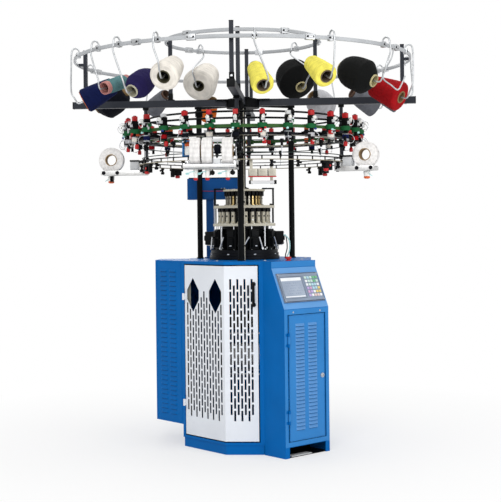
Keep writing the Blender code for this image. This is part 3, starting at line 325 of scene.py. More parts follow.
# The card tube in a package of each yarn
TUBES = {
    "white": cardboard("card_olive", (66, 62, 40)), "yellow": cardboard("card_brown", (104, 88, 70)),
    "black": cardboard("card_cream", (196, 184, 138)), "teal": cardboard("card_pink", (190, 128, 122)),
    "violet": cardboard("card_pale", (186, 182, 160)), "grey": cardboard("card_dark", (86, 62, 48)),
}
KEYS = {
    "green": plastic("key_green", (112, 182, 134)), "mint": plastic("key_mint", (198, 222, 212)),
    "sky": plastic("key_sky", (176, 210, 222)), "white": plastic("key_white", (228, 230, 233)),
    "pink": plastic("key_pink", (200, 160, 194)), "violet": plastic("key_violet", (184, 162, 208)),
    "yellow": plastic("key_yellow", (222, 198, 120)), "peach": plastic("key_peach", (220, 194, 188)),
}
KEY_COLOURS = (
    "mint sky mint green green", "white mint mint green mint", "white mint sky sky white",
    "violet pink sky sky yellow", "pink violet white yellow yellow", "violet white peach peach white",
)
YARNS = {
    "white": yarn("yarn_white", (232, 226, 216)), "blue": yarn("yarn_blue", (12, 22, 66)),
    "teal": yarn("yarn_teal", (88, 128, 130)), "violet": yarn("yarn_violet", (33, 27, 72)),
    "yellow": yarn("yarn_yellow", (240, 228, 100)), "black": yarn("yarn_black", (13, 14, 14)),
    "navy": yarn("yarn_navy", (9, 12, 22)), "red": yarn("yarn_red", (158, 12, 20)),
    "grey": yarn("yarn_grey", (104, 106, 112)), "pale": yarn("yarn_pale_grey", (196, 196, 200)),
    "orange": yarn("yarn_orange", (226, 108, 32)),
    "elastane": yarn("elastane_white", (240, 238, 236), 0.0012, 9.0),
}

# The record's slot that a piece of each material belongs to, where the piece itself names none
SLOTS = {material.name: slot for slot, materials in {
    "blue_paint": (BLUE, DEEP_BLUE, BLUE_LENS), "light_blue_paint": (LIGHT_BLUE, LIT_SLOPE_BLUE, LIT_HOOD_BLUE),
    "white_paint": (WHITE,), "black_paint": (BLACK,), "light_grey_paint": (RING_PAINT, ALUMINIUM),
    "cream_plate": (CREAM, PUTTY, TAN, BRASS), "bright_steel": (STEEL, DULL_STEEL, ZINC),
    "dark_steel": (DARK_STEEL, DARK_GREEN), "key_plastic": (PALE, CERAMIC, *KEYS.values()),
    "grey_plastic": (GREY,), "dark_plastic": (DARK_GREY,), "red_plastic": (RED, ORANGE),
    "display": (DISPLAY_WHITE, DISPLAY_LINES, CYAN_LENS), "green_belt": (GREEN, OLIVE),
    "white_yarn": (YARNS["elastane"],),
}.items() for material in materials}


# Shapes

def around(degrees):
    """The turn that takes a shape from the front to its place round the machine."""
    return Matrix.Rotation(math.radians(degrees), 4, "Z")


def at(x, y, z):
    return Matrix.Translation((x, y, z))


def turned_frame(x, y, degrees):
    return at(x, y, 0) @ around(degrees)


def sideways(side=1):
    """Takes Z to the right, or to the left where the side is -1."""
    return Matrix.Rotation(side * math.pi / 2, 4, "Y")


HOME = Matrix.Identity(4)
OUTWARDS = Matrix.Rotation(math.pi / 2, 4, "X")

# Local frames: X along the face to the right, -Y outwards; on the slope Y runs up it and Z points outwards
LEFT_FACE = turned_frame(BASE_SHIFT - CORNER - FACET * DIAGONAL, -FRONT + FACET * DIAGONAL, -45)
CONSOLE = turned_frame(BASE_SHIFT + CORNER, -FRONT, 45) @ at(0, -CONSOLE_DEPTH, 0)
SLOPE = CONSOLE @ at(0, 0, FACE_TOP) @ Matrix.Rotation(math.atan2(SLOPE_TOP - FACE_TOP, SLOPE_RUN), 4, "X")

BY_MATERIAL = "by_material"
STARTED = []


def new(name, material, body=MACHINE, slot=BY_MATERIAL, replaces=(), angle=35, place=None):
    """Starts an empty shape. finish_pieces makes the object once all shapes are filled."""
    bm = bmesh.new()
    STARTED.append((name, bm, material, body, slot, replaces, angle, place))
    return bm


def finish_pieces():
    """Makes an object of each shape, smooths it and hangs it on its body."""
    for name, bm, material, body, slot, replaces, angle, place in STARTED:
        bmesh.ops.recalc_face_normals(bm, faces=bm.faces)
        mesh = bpy.data.meshes.new(name)
        bm.to_mesh(mesh)
        bm.free()
        made = bpy.data.objects.new(name, mesh)
        bpy.context.scene.collection.objects.link(made)
        mesh.materials.append(material)
        mesh.shade_smooth()
        mesh.set_sharp_from_angle(angle=math.radians(angle))
        if place is not None:
            made.matrix_world = place
        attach(made, body)
        slot = SLOTS.get(material.name) if slot == BY_MATERIAL else slot
        if replaces:
            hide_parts(*replaces)


def box(bm, size, place, chamfer=0.001):
    """A box with bevelled edges."""
    made = bmesh.ops.create_cube(bm, size=1, matrix=place @ Matrix.Diagonal((*size, 1)))
    edges = {edge for corner in made["verts"] for edge in corner.link_edges}
    width = min(chamfer, min(size) * 0.3)
    bmesh.ops.bevel(bm, geom=list(edges), offset=width, segments=2, affect="EDGES", profile=0.7)


def boxes(place, *rows):
    """Boxes in one local frame. A row is a shape, a size, a spot in the frame and a chamfer."""
    for bm, size, spot, *chamfer in rows:
        box(bm, size, place @ at(*spot), *chamfer)


def lathe(bm, profile, place, sides=32, closed=False, ripple=None):
    """Turns a profile of (radius, level) about Z. A ripple moves each point along its radius."""
    rows = []
    for radius, level in profile:
        if radius < 1e-6:
            rows.append([bm.verts.new(place @ Vector((0, 0, level)))])
            continue
        row = []
        for step in range(sides):
            turn = math.tau * step / sides
            reach = radius + (ripple(turn, level) if ripple else 0)
            row.append(bm.verts.new(place @ Vector((reach * math.cos(turn), reach * math.sin(turn), level))))
        rows.append(row)
    pairs = list(zip(rows, rows[1:]))
    if closed:
        pairs.append((rows[-1], rows[0]))
    for low, high in pairs:
        for step in range(sides):
            after = (step + 1) % sides
            ring = [low[step % len(low)], low[after % len(low)], high[after % len(high)],
                    high[step % len(high)]]
            corners = list(dict.fromkeys(ring))
            if len(corners) > 2:
                bm.faces.new(corners)


def disc(bm, place, radius, low, high, sides):
    lathe(bm, [(0, low), (radius, low), (radius, high), (0, high)], place, sides)


def smooth_path(points, steps=6):
    """A Catmull-Rom curve through the points."""
    points = [Vector(p) for p in points]
    last = len(points) - 1
    route = []
    for index in range(last):
        before, start, stop, beyond = (points[min(max(index + k, 0), last)] for k in (-1, 0, 1, 2))
        for step in range(steps):
            t = step / steps
            route.append(0.5 * ((2 * start) + (stop - before) * t
                                + (2 * before - 5 * start + 4 * stop - beyond) * t * t
                                + (3 * start - before - 3 * stop + beyond) * t ** 3))
    return route + [points[-1]]


def rod(bm, points, radius, sides=10, closed=False, end_radius=None, place=HOME):
    """A round bar along a path, with closed ends."""
    points = [place @ Vector(p) for p in points]
    count = len(points)
    rows = []
    side = None
    for index, point in enumerate(points):
        if closed:
            along = points[(index + 1) % count] - points[index - 1]
        else:
            along = points[min(index + 1, count - 1)] - points[max(index - 1, 0)]
        along.normalize()
        if side is None:
            side = along.orthogonal().normalized()
        side = (side - along * side.dot(along)).normalized()
        other = along.cross(side)
        share = index / max(count - 1, 1)
        size = radius if end_radius is None else radius + (end_radius - radius) * share
        turns = [math.tau * k / sides for k in range(sides)]
        rows.append([bm.verts.new(point + size * (math.cos(t) * side + math.sin(t) * other)) for t in turns])
    pairs = list(zip(rows, rows[1:]))
    if closed:
        pairs.append((rows[-1], rows[0]))
    for low, high in pairs:
        for k in range(sides):
            after = (k + 1) % sides
            bm.faces.new([low[k], low[after], high[after], high[k]])
    if not closed:
        bm.faces.new(list(reversed(rows[0])))
        bm.faces.new(rows[-1])


def bolt(bm, place, radius=0.0032, height=0.003):
    """A hexagon head on a washer, its axis along the place's Z."""
    lathe(bm, [(0, 0), (radius * 1.8, 0), (radius * 1.7, 0.0012), (0, 0.0012)], place, 16)
    flats = [(0, 0.001), (radius * 1.12, 0.001), (radius * 1.12, height * 0.85), (radius, height),
             (0, height)]
    lathe(bm, flats, place, 6)


def screw(bm, face, x, z, y=0, radius=0.0032, height=0.0026):
    """A bolt that looks out of a face."""
    bolt(bm, face @ at(x, y, z) @ OUTWARDS, radius, height)


def ring_section(radius, level, thick, height, corner=0.003, steps=3):
    """A rounded rectangle's outline round a circle, for a closed lathe."""
    points = []
    half_thick, half_height = thick / 2 - corner, height / 2 - corner
    for quarter, (sx, sz) in enumerate(((1, 1), (-1, 1), (-1, -1), (1, -1))):
        for step in range(steps + 1):
            turn = (quarter + step / steps) * math.pi / 2
            points.append((radius + sx * half_thick + corner * math.cos(turn),
                           level + sz * half_height + corner * math.sin(turn)))
    return points


def rounded(profile, rounds=3):
    """Cuts a profile's corners again and again, with its ends kept."""
    for _ in range(rounds):
        softer = [profile[0]]
        for (r0, z0), (r1, z1) in zip(profile, profile[1:]):
            softer += [(0.75 * r0 + 0.25 * r1, 0.75 * z0 + 0.25 * z1),
                       (0.25 * r0 + 0.75 * r1, 0.25 * z0 + 0.75 * z1)]
        profile = softer + [profile[-1]]
    return profile


# Finishes of the frame's own nodes

NODE_FINISH = {
    BLUE: "base_plinth base_walls table_top console_cabinet side_cabinet", WHITE: "front_door",
    LIGHT_BLUE: "console_door", GREY: "console_fascia console_keypad", SCREEN: "console_screen",
    RED: "stop_button", STEEL: "needle_cylinder", DARK_STEEL: "cam_ring take_down_frame",
    CREAM: "selector_tier_lower selector_tier_upper head_top_plate", DEEP_BLUE: "drive_column",
    BLACK: "post_front post_right post_left creel_hub guide_rail_upper guide_rail_lower",
    CHARCOAL: "creel_arm_front creel_arm_right creel_arm_back creel_arm_left", INK: "door_handle feeder_ring",
    GREEN: "feeder_belt", TAN: "lower_ring", RING_PAINT: "creel_ring_outer creel_ring_inner",
    ALUMINIUM: "elastane_unit_left elastane_unit_right elastane_unit_front",
}


def finish_nodes():
    finishes = {name: material for material, names in NODE_FINISH.items() for name in names.split()}
    for name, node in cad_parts.items():
        material = finishes.get(name, YARNS["white"])
        if not node.material_slots:
            node.data.materials.append(material)
        for material_slot in node.material_slots:
            material_slot.material = material


# Yarn packages on the creel

OUTER, INNER = "outer", "inner"

# Name, style, yarn, ring, the hook's place in degrees, then the package's place in degrees, reach and level,
# its yaw and tilt in degrees, its largest radius and its length
CONES = (
    ("cone_blue_left", "cone", "blue", OUTER, -66, -66, 0.85, 1.752, -18, 28, 0.062, 0.180),
    ("tube_teal", "tube", "teal", OUTER, -49, -47, 0.86, 1.789, 14, 18, 0.034, 0.170),
    ("cone_violet", "package", "violet", OUTER, -38, -35, 0.84, 1.762, 4, 32, 0.062, 0.180),
    ("cone_white_left", "cone", "white", OUTER, -23, -22, 0.85, 1.813, 8, 27, 0.070, 0.170),
    ("cone_yellow_left", "cone", "yellow", OUTER, 7, 10, 0.82, 1.764, 10, 38, 0.053, 0.170),
    ("cone_yellow_right", "cone", "yellow", OUTER, 31, 31, 0.84, 1.810, 0, 30, 0.057, 0.170),
    ("package_black_right", "package", "black", OUTER, 54, 52, 0.84, 1.809, 8, 24, 0.084, 0.200),
    ("cone_red", "cone", "red", OUTER, 72, 72, 0.85, 1.755, -12, 24, 0.075, 0.180),
    ("cone_grey_right", "cone", "grey", OUTER, 101, 100, 0.85, 1.772, -8, 27, 0.066, 0.170),
    ("cone_grey_far", "cone", "grey", OUTER, 123, 122, 0.85, 1.778, -8, 27, 0.066, 0.170),
    ("package_grey_back", "package", "pale", OUTER, 148, 147, 0.84, 1.775, 0, 27, 0.080, 0.190),
    ("cone_orange_back", "cone", "orange", OUTER, -163, -162, 0.85, 1.768, 0, 30, 0.050, 0.170),
    ("cone_grey_left", "cone", "grey", OUTER, -139, -138, 0.85, 1.800, 0, 27, 0.055, 0.170),
    ("package_black_left", "package", "navy", OUTER, -106, -106, 0.85, 1.775, 0, 27, 0.090, 0.200),
    ("cone_white_right", "cone", "white", INNER, -140, -128, 0.320, 1.884, 112, 30, 0.093, 0.180),
    ("package_black_middle", "package", "black", INNER, 136, 123, 0.365, 1.868, -95, 36, 0.105, 0.200),
)


def yarn_frame(degrees, reach, level, yaw, tilt):
    """A package's frame: origin at the centre of its big end, Z along its axis to the small end."""
    return (around(degrees) @ at(0, -reach, level) @ around(yaw)
            @ Matrix.Rotation(math.radians(tilt - 90), 4, "X"))


def wound_profile(style, big, length):
    """The yarn's outline on its tube, from the big end's face to the small end's face."""
    if style == "cone":
        return [(TUBE, 0.001), (big * 0.8, 0), (big, 0.006), (big, 0.022), (big * 0.72, length - 0.02),
                (big * 0.66, length - 0.011), (TUBE, length - 0.012)]
    if style == "package":
        return [(TUBE, 0.004), (TUBE + 0.012, 0.006), (big, 0.046), (big, 0.06), (big * 0.96, length - 0.06),
                (big * 0.6, length - 0.013), (TUBE, length - 0.012)]
    return [(TUBE, 0.022), (big, 0.03), (big, length - 0.036), (TUBE, length - 0.026)]


def winding(seed, depth):
    """The uneven lay of the yarn: crossed bands and soft hollows."""
    def ripple(turn, level):
        bands = math.sin(turn * 3 + level * 260 + seed) + math.sin(-turn * 3 + level * 260 + seed * 2)
        soft = noise.noise(Vector((math.cos(turn) * 2 + seed, math.sin(turn) * 2, level * 18)))
        return depth * (0.25 * bands + 1.6 * soft)
    return ripple


def yarn_package(index, name, style, colour, big, length, place):
    yarns = new(name + "_yarn", YARNS[colour], replaces=(name,), angle=60, place=place)
    lathe(yarns, rounded(wound_profile(style, big, length)), HOME, 72, ripple=winding(index, 0.0008))
    wall = [(TUBE_BORE, -0.003), (TUBE, -0.003), (TUBE + 0.0004, 0), (TUBE - 0.001, length - 0.002),
            (TUBE - 0.003, length), (TUBE_BORE - 0.001, length), (TUBE_BORE - 0.0006, length * 0.5)]
    lathe(new(name + "_tube", TUBES.get(colour, CARD), place=place), wall, HOME, 48, closed=True)
    if colour == "blue":
        tail = [(big * 0.78, -0.0012), (big * 0.86, -0.0012), (big * 0.9, 0.0008), (big * 0.8, 0.0016)]
        lathe(new(name + "_tail", ORANGE, place=place), tail, HOME, 64, closed=True)
    holder = [(0, 0.034), (0.012, 0.034), (0.022, 0.042), (0.0245, 0.05), (0.0245, 0.086), (0.018, 0.09),
              (0, 0.09)]
    lathe(new(name + "_holder", INK, place=place), holder, HOME, 32)


def hook_route(ring, ring_level, ring_degrees, place, side, big):
    """A bent rod from its clamp on the ring, over the package's rim and into its tube."""
    turn = around(ring_degrees)
    start = turn @ Vector((0, -ring, ring_level))
    out = turn.to_3x3() @ Vector((0, -side, 0))
    up = Vector((0, 0, 1))
    along = place.to_3x3() @ Vector((0, 0, 1))
    face = place.translation
    entry = face - along * 0.030
    over_rim = (up - along * along.z).normalized() * (big + 0.018)
    return [
        start - out * 0.004, start + up * 0.022 - out * 0.002, start + out * 0.014 + up * 0.034,
        start + out * 0.032 + up * 0.024, start + out * 0.038 - up * 0.008, start + out * 0.038 - up * 0.040,
        entry + over_rim, entry + over_rim * 0.5 - along * 0.004, entry + over_rim * 0.08,
        face + along * 0.006,
        face + along * 0.040,
    ]


def ring_clamp(bm, screws, radius, level, degrees, length):
    """A split clamp round a creel ring, with two screws on its outer face."""
    turn = around(degrees) @ at(0, -radius, level)
    box(bm, (length, RING_THICK + 0.009, RING_HEIGHT + 0.010), turn, 0.002)
    box(bm, (length * 0.5, RING_THICK + 0.018, 0.010), turn @ at(0, -0.002, 0), 0.002)
    for x in (-length * 0.3, length * 0.3):
        screw(screws, turn, x, 0, -(RING_THICK / 2 + 0.0045), 0.003, 0.003)


def creel_rings():
    """The two rings of flat tube, their joints, and the bent rods that carry the packages."""
    clamps = new("creel_ring_clamps", ZINC, slot=None)
    screws = new("creel_ring_screws", DARK_STEEL, slot=None)
    joints = {OUTER: (-31, -12, 24, 62, 118, 160, 205, 250), INNER: (-40, 35, 100, 170, 230)}
    for name, (radius, level) in RING.items():
        tube = new(f"creel_ring_{name}_tube", RING_PAINT, replaces=("creel_ring_" + name,))
        lathe(tube, ring_section(radius, level, RING_THICK, RING_HEIGHT), HOME, 192, closed=True)
        for degrees in joints[name]:
            ring_clamp(clamps, screws, radius, level, degrees, 0.044)
    for index, (name, style, colour, ring, hook_at, *placing, big, length) in enumerate(CONES):
        place = yarn_frame(*placing)
        radius, level = RING[ring]
        route = hook_route(radius, level, hook_at, place, 1 if ring == OUTER else -1, big)
        rod(new(name + "_hook", ZINC, slot="light_grey_paint"), smooth_path(route, 7), HOOK_ROD, 12)
        ring_clamp(clamps, screws, radius, level, hook_at, 0.022)
        yarn_package(index, name, style, colour, big, length, place)
    radius, level = RING[OUTER]
    fork = [around(60) @ Vector((0, -0.879, level)), (0.752, -0.452, 1.93), (0.716, -0.44, 1.862),
            (0.712, -0.436, 1.826), (0.748, -0.43, 1.797), (0.78, -0.426, 1.774), (0.8, -0.424, 1.802),
            (0.818, -0.42, 1.842)]
    rod(new("creel_spare_fork", ZINC, slot="light_grey_paint"), smooth_path(fork), HOOK_ROD * 0.85)


# Base cabinet

def louvre(bm, lip_painted_shade, place, length, height, proud):
    """A pressed hood that opens downwards, and a thin dark strip under its lip: painted shade for the opening
    there.
    """
    columns, rows = 14, 5
    across = [2 * column / columns - 1 for column in range(columns + 1)]
    grid = []
    for row in range(rows + 1):
        v = row / rows
        rise = math.sin(v * math.pi / 2) ** 1.3
        grid.append([bm.verts.new(place @ Vector((u * length / 2, -proud * ((1 - u ** 6) ** 0.5 * rise),
                                                  height * (0.5 - v)))) for u in across])
    under = [bm.verts.new(place @ Vector((u * length / 2, 0, -height * 0.34))) for u in across]
    for low, high in zip(grid, grid[1:] + [under]):
        for column in range(columns):
            bm.faces.new([low[column], low[column + 1], high[column + 1], high[column]])
    # A thin black strip on the panel under the lip: painted shade where the opening is.
    box(lip_painted_shade, (length * 0.86, 0.0008, height * 0.20), place @ at(0, -0.0005, -height * 0.58), 0.0002)


def louvres(name, material, body, face, columns, top, pitch, count, length, height, proud):
    # Each hood gets a black strip of painted shade under its lip.
    hoods, lip_painted_shade = new(name, material, body, angle=50), new(name + "_slits", INK, body)
    for x in columns:
        for row in range(count):
            louvre(hoods, lip_painted_shade, face @ at(x, 0, top - row * pitch), length, height, proud)


def rim(bm, place, width, height, band, proud):
    """A raised flat frame round an opening or a panel."""
    up, across = (height - band) / 2, (width - band) / 2
    for x, z, w, h in ((0, up, width, band), (0, -up, width, band),
                       (across, 0, band, height - 2 * band), (-across, 0, band, height - 2 * band)):
        box(bm, (w, proud, h), place @ at(x, -proud / 2, z), proud * 0.3)


def base_details():
    """Louvred side cabinet, the door opening's flange, fixings, post collars and a conduit."""
    near = (BASE_SHIFT - SIDE - 0.0003 - LEFT_FACE.translation.x) / DIAGONAL
    louvres("side_louvres", BLUE, MACHINE, LEFT_FACE, (near - 0.150, near - 0.075), 0.893, 0.0244, 31,
            0.058, 0.0125, 0.0046)
    flange = new("door_opening_flange", PUTTY)
    boxes(LEFT_FACE, (flange, (0.035, 0.003, 0.85), (0.019, 0.0135, 0.495)),
          (flange, (0.003, 0.011, 0.85), (0.003, 0.008, 0.495)))
    fold = new("side_cabinet_fold", BLUE)
    rim(fold, LEFT_FACE @ at(near - 0.1105, 0, 0.5285), 0.205, 0.815, 0.002, 0.0012)
    for x in (near - 0.206, near - 0.015):
        for z in (0.145, 0.5285, 0.912):
            screw(fold, LEFT_FACE, x, z)
    screws = new("base_screws", ZINC)
    for x in (0.060, 0.242):
        screw(screws, CONSOLE, x, 0.701, 0, 0.0026, 0.002)
    for degrees in range(0, 360, 45):
        bolt(screws, turned_frame(BASE_SHIFT, 0, degrees) @ at(0.10, -0.300, TABLE), 0.0045, 0.003)
    collars = new("post_collars", BLACK)
    for turn in map(around, (0, 120, -120)):
        for level, top, edge, sides in ((TABLE + 0.0003, 0.006, 0.002, 36),
                                        (ARM_FOOT - 0.04, 0.032, 0.001, 32)):
            profile = [(0.0155, 0), (0.0205, 0), (0.0205, top - 0.002), (0.0205 - edge, top), (0.0155, top)]
            lathe(collars, profile, turn @ at(0, -POST_CIRCLE, level), sides, closed=True)
    x, y = 0.0185, -0.292
    rod(new("post_conduit", DULL_STEEL), [(x, y, TABLE + 0.0005), (x, y, ARM_FOOT - 0.0405)], 0.0021)
    clips = new("post_conduit_clips", BLACK)
    for z in (1.02, 1.24, 1.48):
        lathe(clips, [(0.0153, -0.004), (0.0168, -0.004), (0.0168, 0.004), (0.0153, 0.004)],
              at(0, -POST_CIRCLE, z), 32, closed=True)
        box(clips, (0.007, 0.007, 0.008), at(x, y, z))


def back_panels():
    """Screwed access panels on the base's plain faces, with louvres on the slanted ones."""
    sheets, screws = new("back_panel_edges", BLUE), new("back_panel_screws", ZINC)
    slant_x, slant_y = (CORNER + SIDE) / 2, FRONT - (SIDE - CORNER) / 2
    for name, x, y, degrees, width in (
            ("right", SIDE, 0, 90, 0.36), ("back_right", slant_x, slant_y, 135, 0.28),
            ("back", 0, FRONT, 180, 0.15), ("back_left", -slant_x, slant_y, 225, 0.28)):
        face = turned_frame(BASE_SHIFT + x, y, degrees)
        rim(sheets, face @ at(0, 0, 0.5), width, 0.78, 0.003, 0.0014)
        for x in (0.010 - width / 2, width / 2 - 0.010):
            for z in (0.125, 0.5, 0.875):
                screw(screws, face, x, z)
        if degrees % 90:
            louvres(name + "_louvres", BLUE, MACHINE, face, (-0.066, 0.066), 0.85, 0.0372, 9, 0.1, 0.0145,
                    0.0042)


# Perforated door

def slot_columns():
    """Each column of slots: its face of the door, its place across, and the top of its first slot."""
    for column in range(13):
        steps = min(abs(column - 2), abs(column - 10))
        yield LEFT_FACE, SLOT_FIRST + column * SLOT_PITCH, 0.795 + (steps - 4) * SLOT_ROW / 2
    middle_face = at(BASE_SHIFT - CORNER, -FRONT, 0)
    for column in range(7):
        yield middle_face, 0.031 + column * 0.01745, 0.8598 - (column % 2) * SLOT_ROW / 2


def door_slot_painted_shade():
    """Dark strips round each of the door's slots: painted shade on the slot walls, running a hair's breadth
    out onto the face.
    """
    edges = new("door_slot_painted_shade", DARK_STEEL, FRONT_DOOR, angle=20)
    half = SLOT_WIDTH / 2 + SHADE_OVERHANG - SHADE_STRIP / 2
    tall = SLOT_LENGTH / 2 + SHADE_OVERHANG - SHADE_STRIP / 2
    upright, level = (SHADE_STRIP, 0.0026, 2 * tall + SHADE_STRIP), (2 * half - SHADE_STRIP, 0.0026, SHADE_STRIP)
    for face, x, top in slot_columns():
        while top - SLOT_LENGTH >= SLOT_LOWEST:
            middle = face @ at(x, 0.0011, top - SLOT_LENGTH / 2)
            for dx, dz, size in ((-half, 0, upright), (half, 0, upright), (0, -tall, level),
                                 (0, tall, level)):
                bmesh.ops.create_cube(edges, size=1,
                                      matrix=middle @ at(dx, 0, dz) @ Matrix.Diagonal((*size, 1)))
            top -= SLOT_ROW


def door_details():
    """Painted shade round the slots, window rims, hinge screws and a bowed handle on the perforated door."""
    door_slot_painted_shade()
    edge = new("door_window_edges", WHITE, FRONT_DOOR)
    for column in (2, 10):
        rod(edge, [(0, 0.0004, 0.088), (-0.048, 0.0004, 0.0235), (-0.048, 0.0004, -0.0235),
                   (0, 0.0004, -0.088),
                   (0.048, 0.0004, -0.0235), (0.048, 0.0004, 0.0235)], 0.0012, 8, closed=True,
            place=LEFT_FACE @ at(SLOT_FIRST + column * SLOT_PITCH, -0.0002, 0.775))
    place = at(BASE_SHIFT - CORNER + DOOR_RIGHT_FACET - 0.020, -FRONT, 0)
    grip = new("door_handle_grip", INK, FRONT_DOOR, "dark_plastic", ("door_handle",))
    rod(grip, smooth_path([(0, -0.001, 0.8355), (0, -0.011, 0.8365), (0, -0.0215, 0.826), (0, -0.0225, 0.785),
                           (0, -0.0215, 0.744), (0, -0.011, 0.7335), (0, -0.001, 0.7345)], 8), 0.0068, 16,
                           place=place)
    for z in (0.8355, 0.7345):
        lathe(grip, [(0, 0.0002), (0.011, 0.0002), (0.011, 0.002), (0.009, 0.0035), (0, 0.0035)],
              place @ at(0, 0, z) @ OUTWARDS, 24)
    screws = new("door_hinge_screws", STEEL, FRONT_DOOR)
    for z in (0.217, 0.235, 0.755, 0.773):
        screw(screws, LEFT_FACE, 0.0125, z, 0, 0.0022, 0.0016)


# Operator's console

def console_sheets():
    """Bare sheets round the fascia and the door, and dark sheets of painted shade in the foot space, with its
    plate.
    """
    # The slope's sheets are in the lighter slope blue, a painted highlight; the front sheets keep the plain
    # light blue.
    slope, front = new("console_slope_sheet", LIT_SLOPE_BLUE), new("console_front_sheet", LIGHT_BLUE)
    for x, y, width, height in ((0.0066, 0.108, 0.0125, 0.214), (0.2954, 0.108, 0.0125, 0.214),
                                (CONSOLE_MIDDLE, 0.0165, 0.276, 0.031), (CONSOLE_MIDDLE, 0.2, 0.276, 0.031)):
        box(slope, (width, height, 0.0008), SLOPE @ at(x, y, 0.0004), 0.0002)
    for x, z, width, height in ((0.01, 0.384, 0.019, 0.662), (0.291, 0.384, 0.021, 0.662),
                                (0.15, 0.7025, 0.261, 0.025), (0.15, 0.0655, 0.261, 0.022)):
        box(front, (width, 0.0006, height), CONSOLE @ at(x, -0.0003, z), 0.0002)
    box(front, (0.301, 0.0008, 0.029), CONSOLE @ at(CONSOLE_MIDDLE, SLOPE_RUN - 0.0004, 0.9295), 0.0002)
    # Black sheets at the back, floor and top of the foot space: painted shade, as the opening is in shadow.
    dark = new("console_foot_painted_shade", INK, slot="dark_plastic")
    boxes(CONSOLE, (dark, (0.294, 0.003, 0.05), (CONSOLE_MIDDLE, 0.138, 0.0265), 0.0005),
          (dark, (0.294, 0.132, 0.002), (CONSOLE_MIDDLE, 0.072, 0.0015), 0.0005),
          (dark, (0.24, 0.132, 0.002), (CONSOLE_MIDDLE, 0.072, 0.0505), 0.0005),
          (new("console_foot_plate", PALE, slot="light_grey_paint"), (0.135, 0.04, 0.004),
           (0.12, 0.03, 0.0046)))


def console_door():
    """Louvres with a painted highlight on their hoods, fold, stiffeners and lock of the console's door."""
    louvres("console_door_louvres", LIT_HOOD_BLUE, CONSOLE_DOOR, CONSOLE, (0.104, 0.189), 0.6385, 0.0179, 29,
            0.06, 0.0128, 0.006)
    fold = new("console_door_fold", LIGHT_BLUE, CONSOLE_DOOR)
    rim(fold, CONSOLE @ at(CONSOLE_WIDTH / 2, 0, DOOR_MIDDLE), 0.238, 0.604, 0.0022, 0.0018)
    lock = CONSOLE @ at(0.2535, -0.0002, 0.381) @ OUTWARDS
    lathe(new("console_lock", STEEL, CONSOLE_DOOR),
          [(0, 0), (0.0125, 0), (0.0125, 0.002), (0.0115, 0.004), (0.0085, 0.0045), (0.008, 0.007),
           (0.0072, 0.0078), (0.0045, 0.0078), (0.004, 0.006), (0, 0.006)], lock, 32)
    box(new("console_lock_slot", INK, CONSOLE_DOOR), (0.0062, 0.0016, 0.0025), lock @ at(0, 0, 0.0062),
        0.0003)
    stiff = new("console_door_stiffeners", LIGHT_BLUE, CONSOLE_DOOR)
    for z in (0.16, DOOR_MIDDLE, 0.606):
        box(stiff, (0.2, 0.01, 0.016), CONSOLE @ at(CONSOLE_MIDDLE, 0.0065, z))
    for x in (0.056, 0.246):
        box(stiff, (0.012, 0.01, 0.52), CONSOLE @ at(x, 0.0065, DOOR_MIDDLE))


def console_panel():
    """Fascia frame, display with plain bars and marks, and coloured keys."""
    low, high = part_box("console_fascia")
    local = SLOPE.inverted() @ ((Vector(low) + Vector(high)) / 2)
    centre = SLOPE @ at(local.x, local.y, 0.0083)
    flat = centre @ Matrix.Rotation(-math.pi / 2, 4, "X")
    rim(new("console_fascia_edge", DARK_GREY), flat @ Matrix.Rotation(math.pi, 4, "X"), 2 * FASCIA_HALF, 0.15,
        0.005, 0.0016)
    screen = centre @ at(-FASCIA_HALF + FASCIA_MARGIN + 0.0726, 0, 0)
    rim(new("console_screen_bezel", GREY), screen @ OUTWARDS, 0.151, 0.116, 0.0042, 0.0012)
    bars = new("console_screen_bars", DISPLAY_WHITE)
    boxes(screen, (bars, (0.136, 0.016, 0.0008), (0, 0.043, -0.0012), 0.0002),
          (bars, (0.132, 0.0055, 0.0008), (0, -0.047, -0.0012), 0.0002))
    marks = new("console_screen_pattern", DISPLAY_LINES)
    for row in range(5):
        for column in range(9):
            if (row * 7 + column * 5) % 4:
                spot = screen @ at(-0.054 + column * 0.0135, -0.030 + row * 0.0135, -0.0014)
                box(marks, (0.0085, 0.005, 0.0006), spot, 0.0001)
    keypad = centre @ at(FASCIA_HALF - FASCIA_MARGIN - 0.04625, 0, 0.0004)
    bed = new("console_keypad_bed", GREY, replaces=("console_keypad",))
    box(bed, (0.0925, 0.111, 0.0016), keypad @ at(0, 0, 0.0004), 0.0004)
    keys = {colour: new("console_keys_" + colour, material) for colour, material in KEYS.items()}
    for row, colours in enumerate(KEY_COLOURS):
        for column, colour in enumerate(colours.split()):
            spot = keypad @ at((column - 2) * 0.0185, (2.5 - row) * 0.0185, 0.0028)
            box(keys[colour], (0.0135, 0.0125, 0.0034), spot, 0.0012)
    screws = new("console_fascia_screws", STEEL)
    for x in (-0.131, 0.131):
        for y in (-0.068, 0.068):
            bolt(screws, centre @ at(x, y, 0), 0.002, 0.0016)


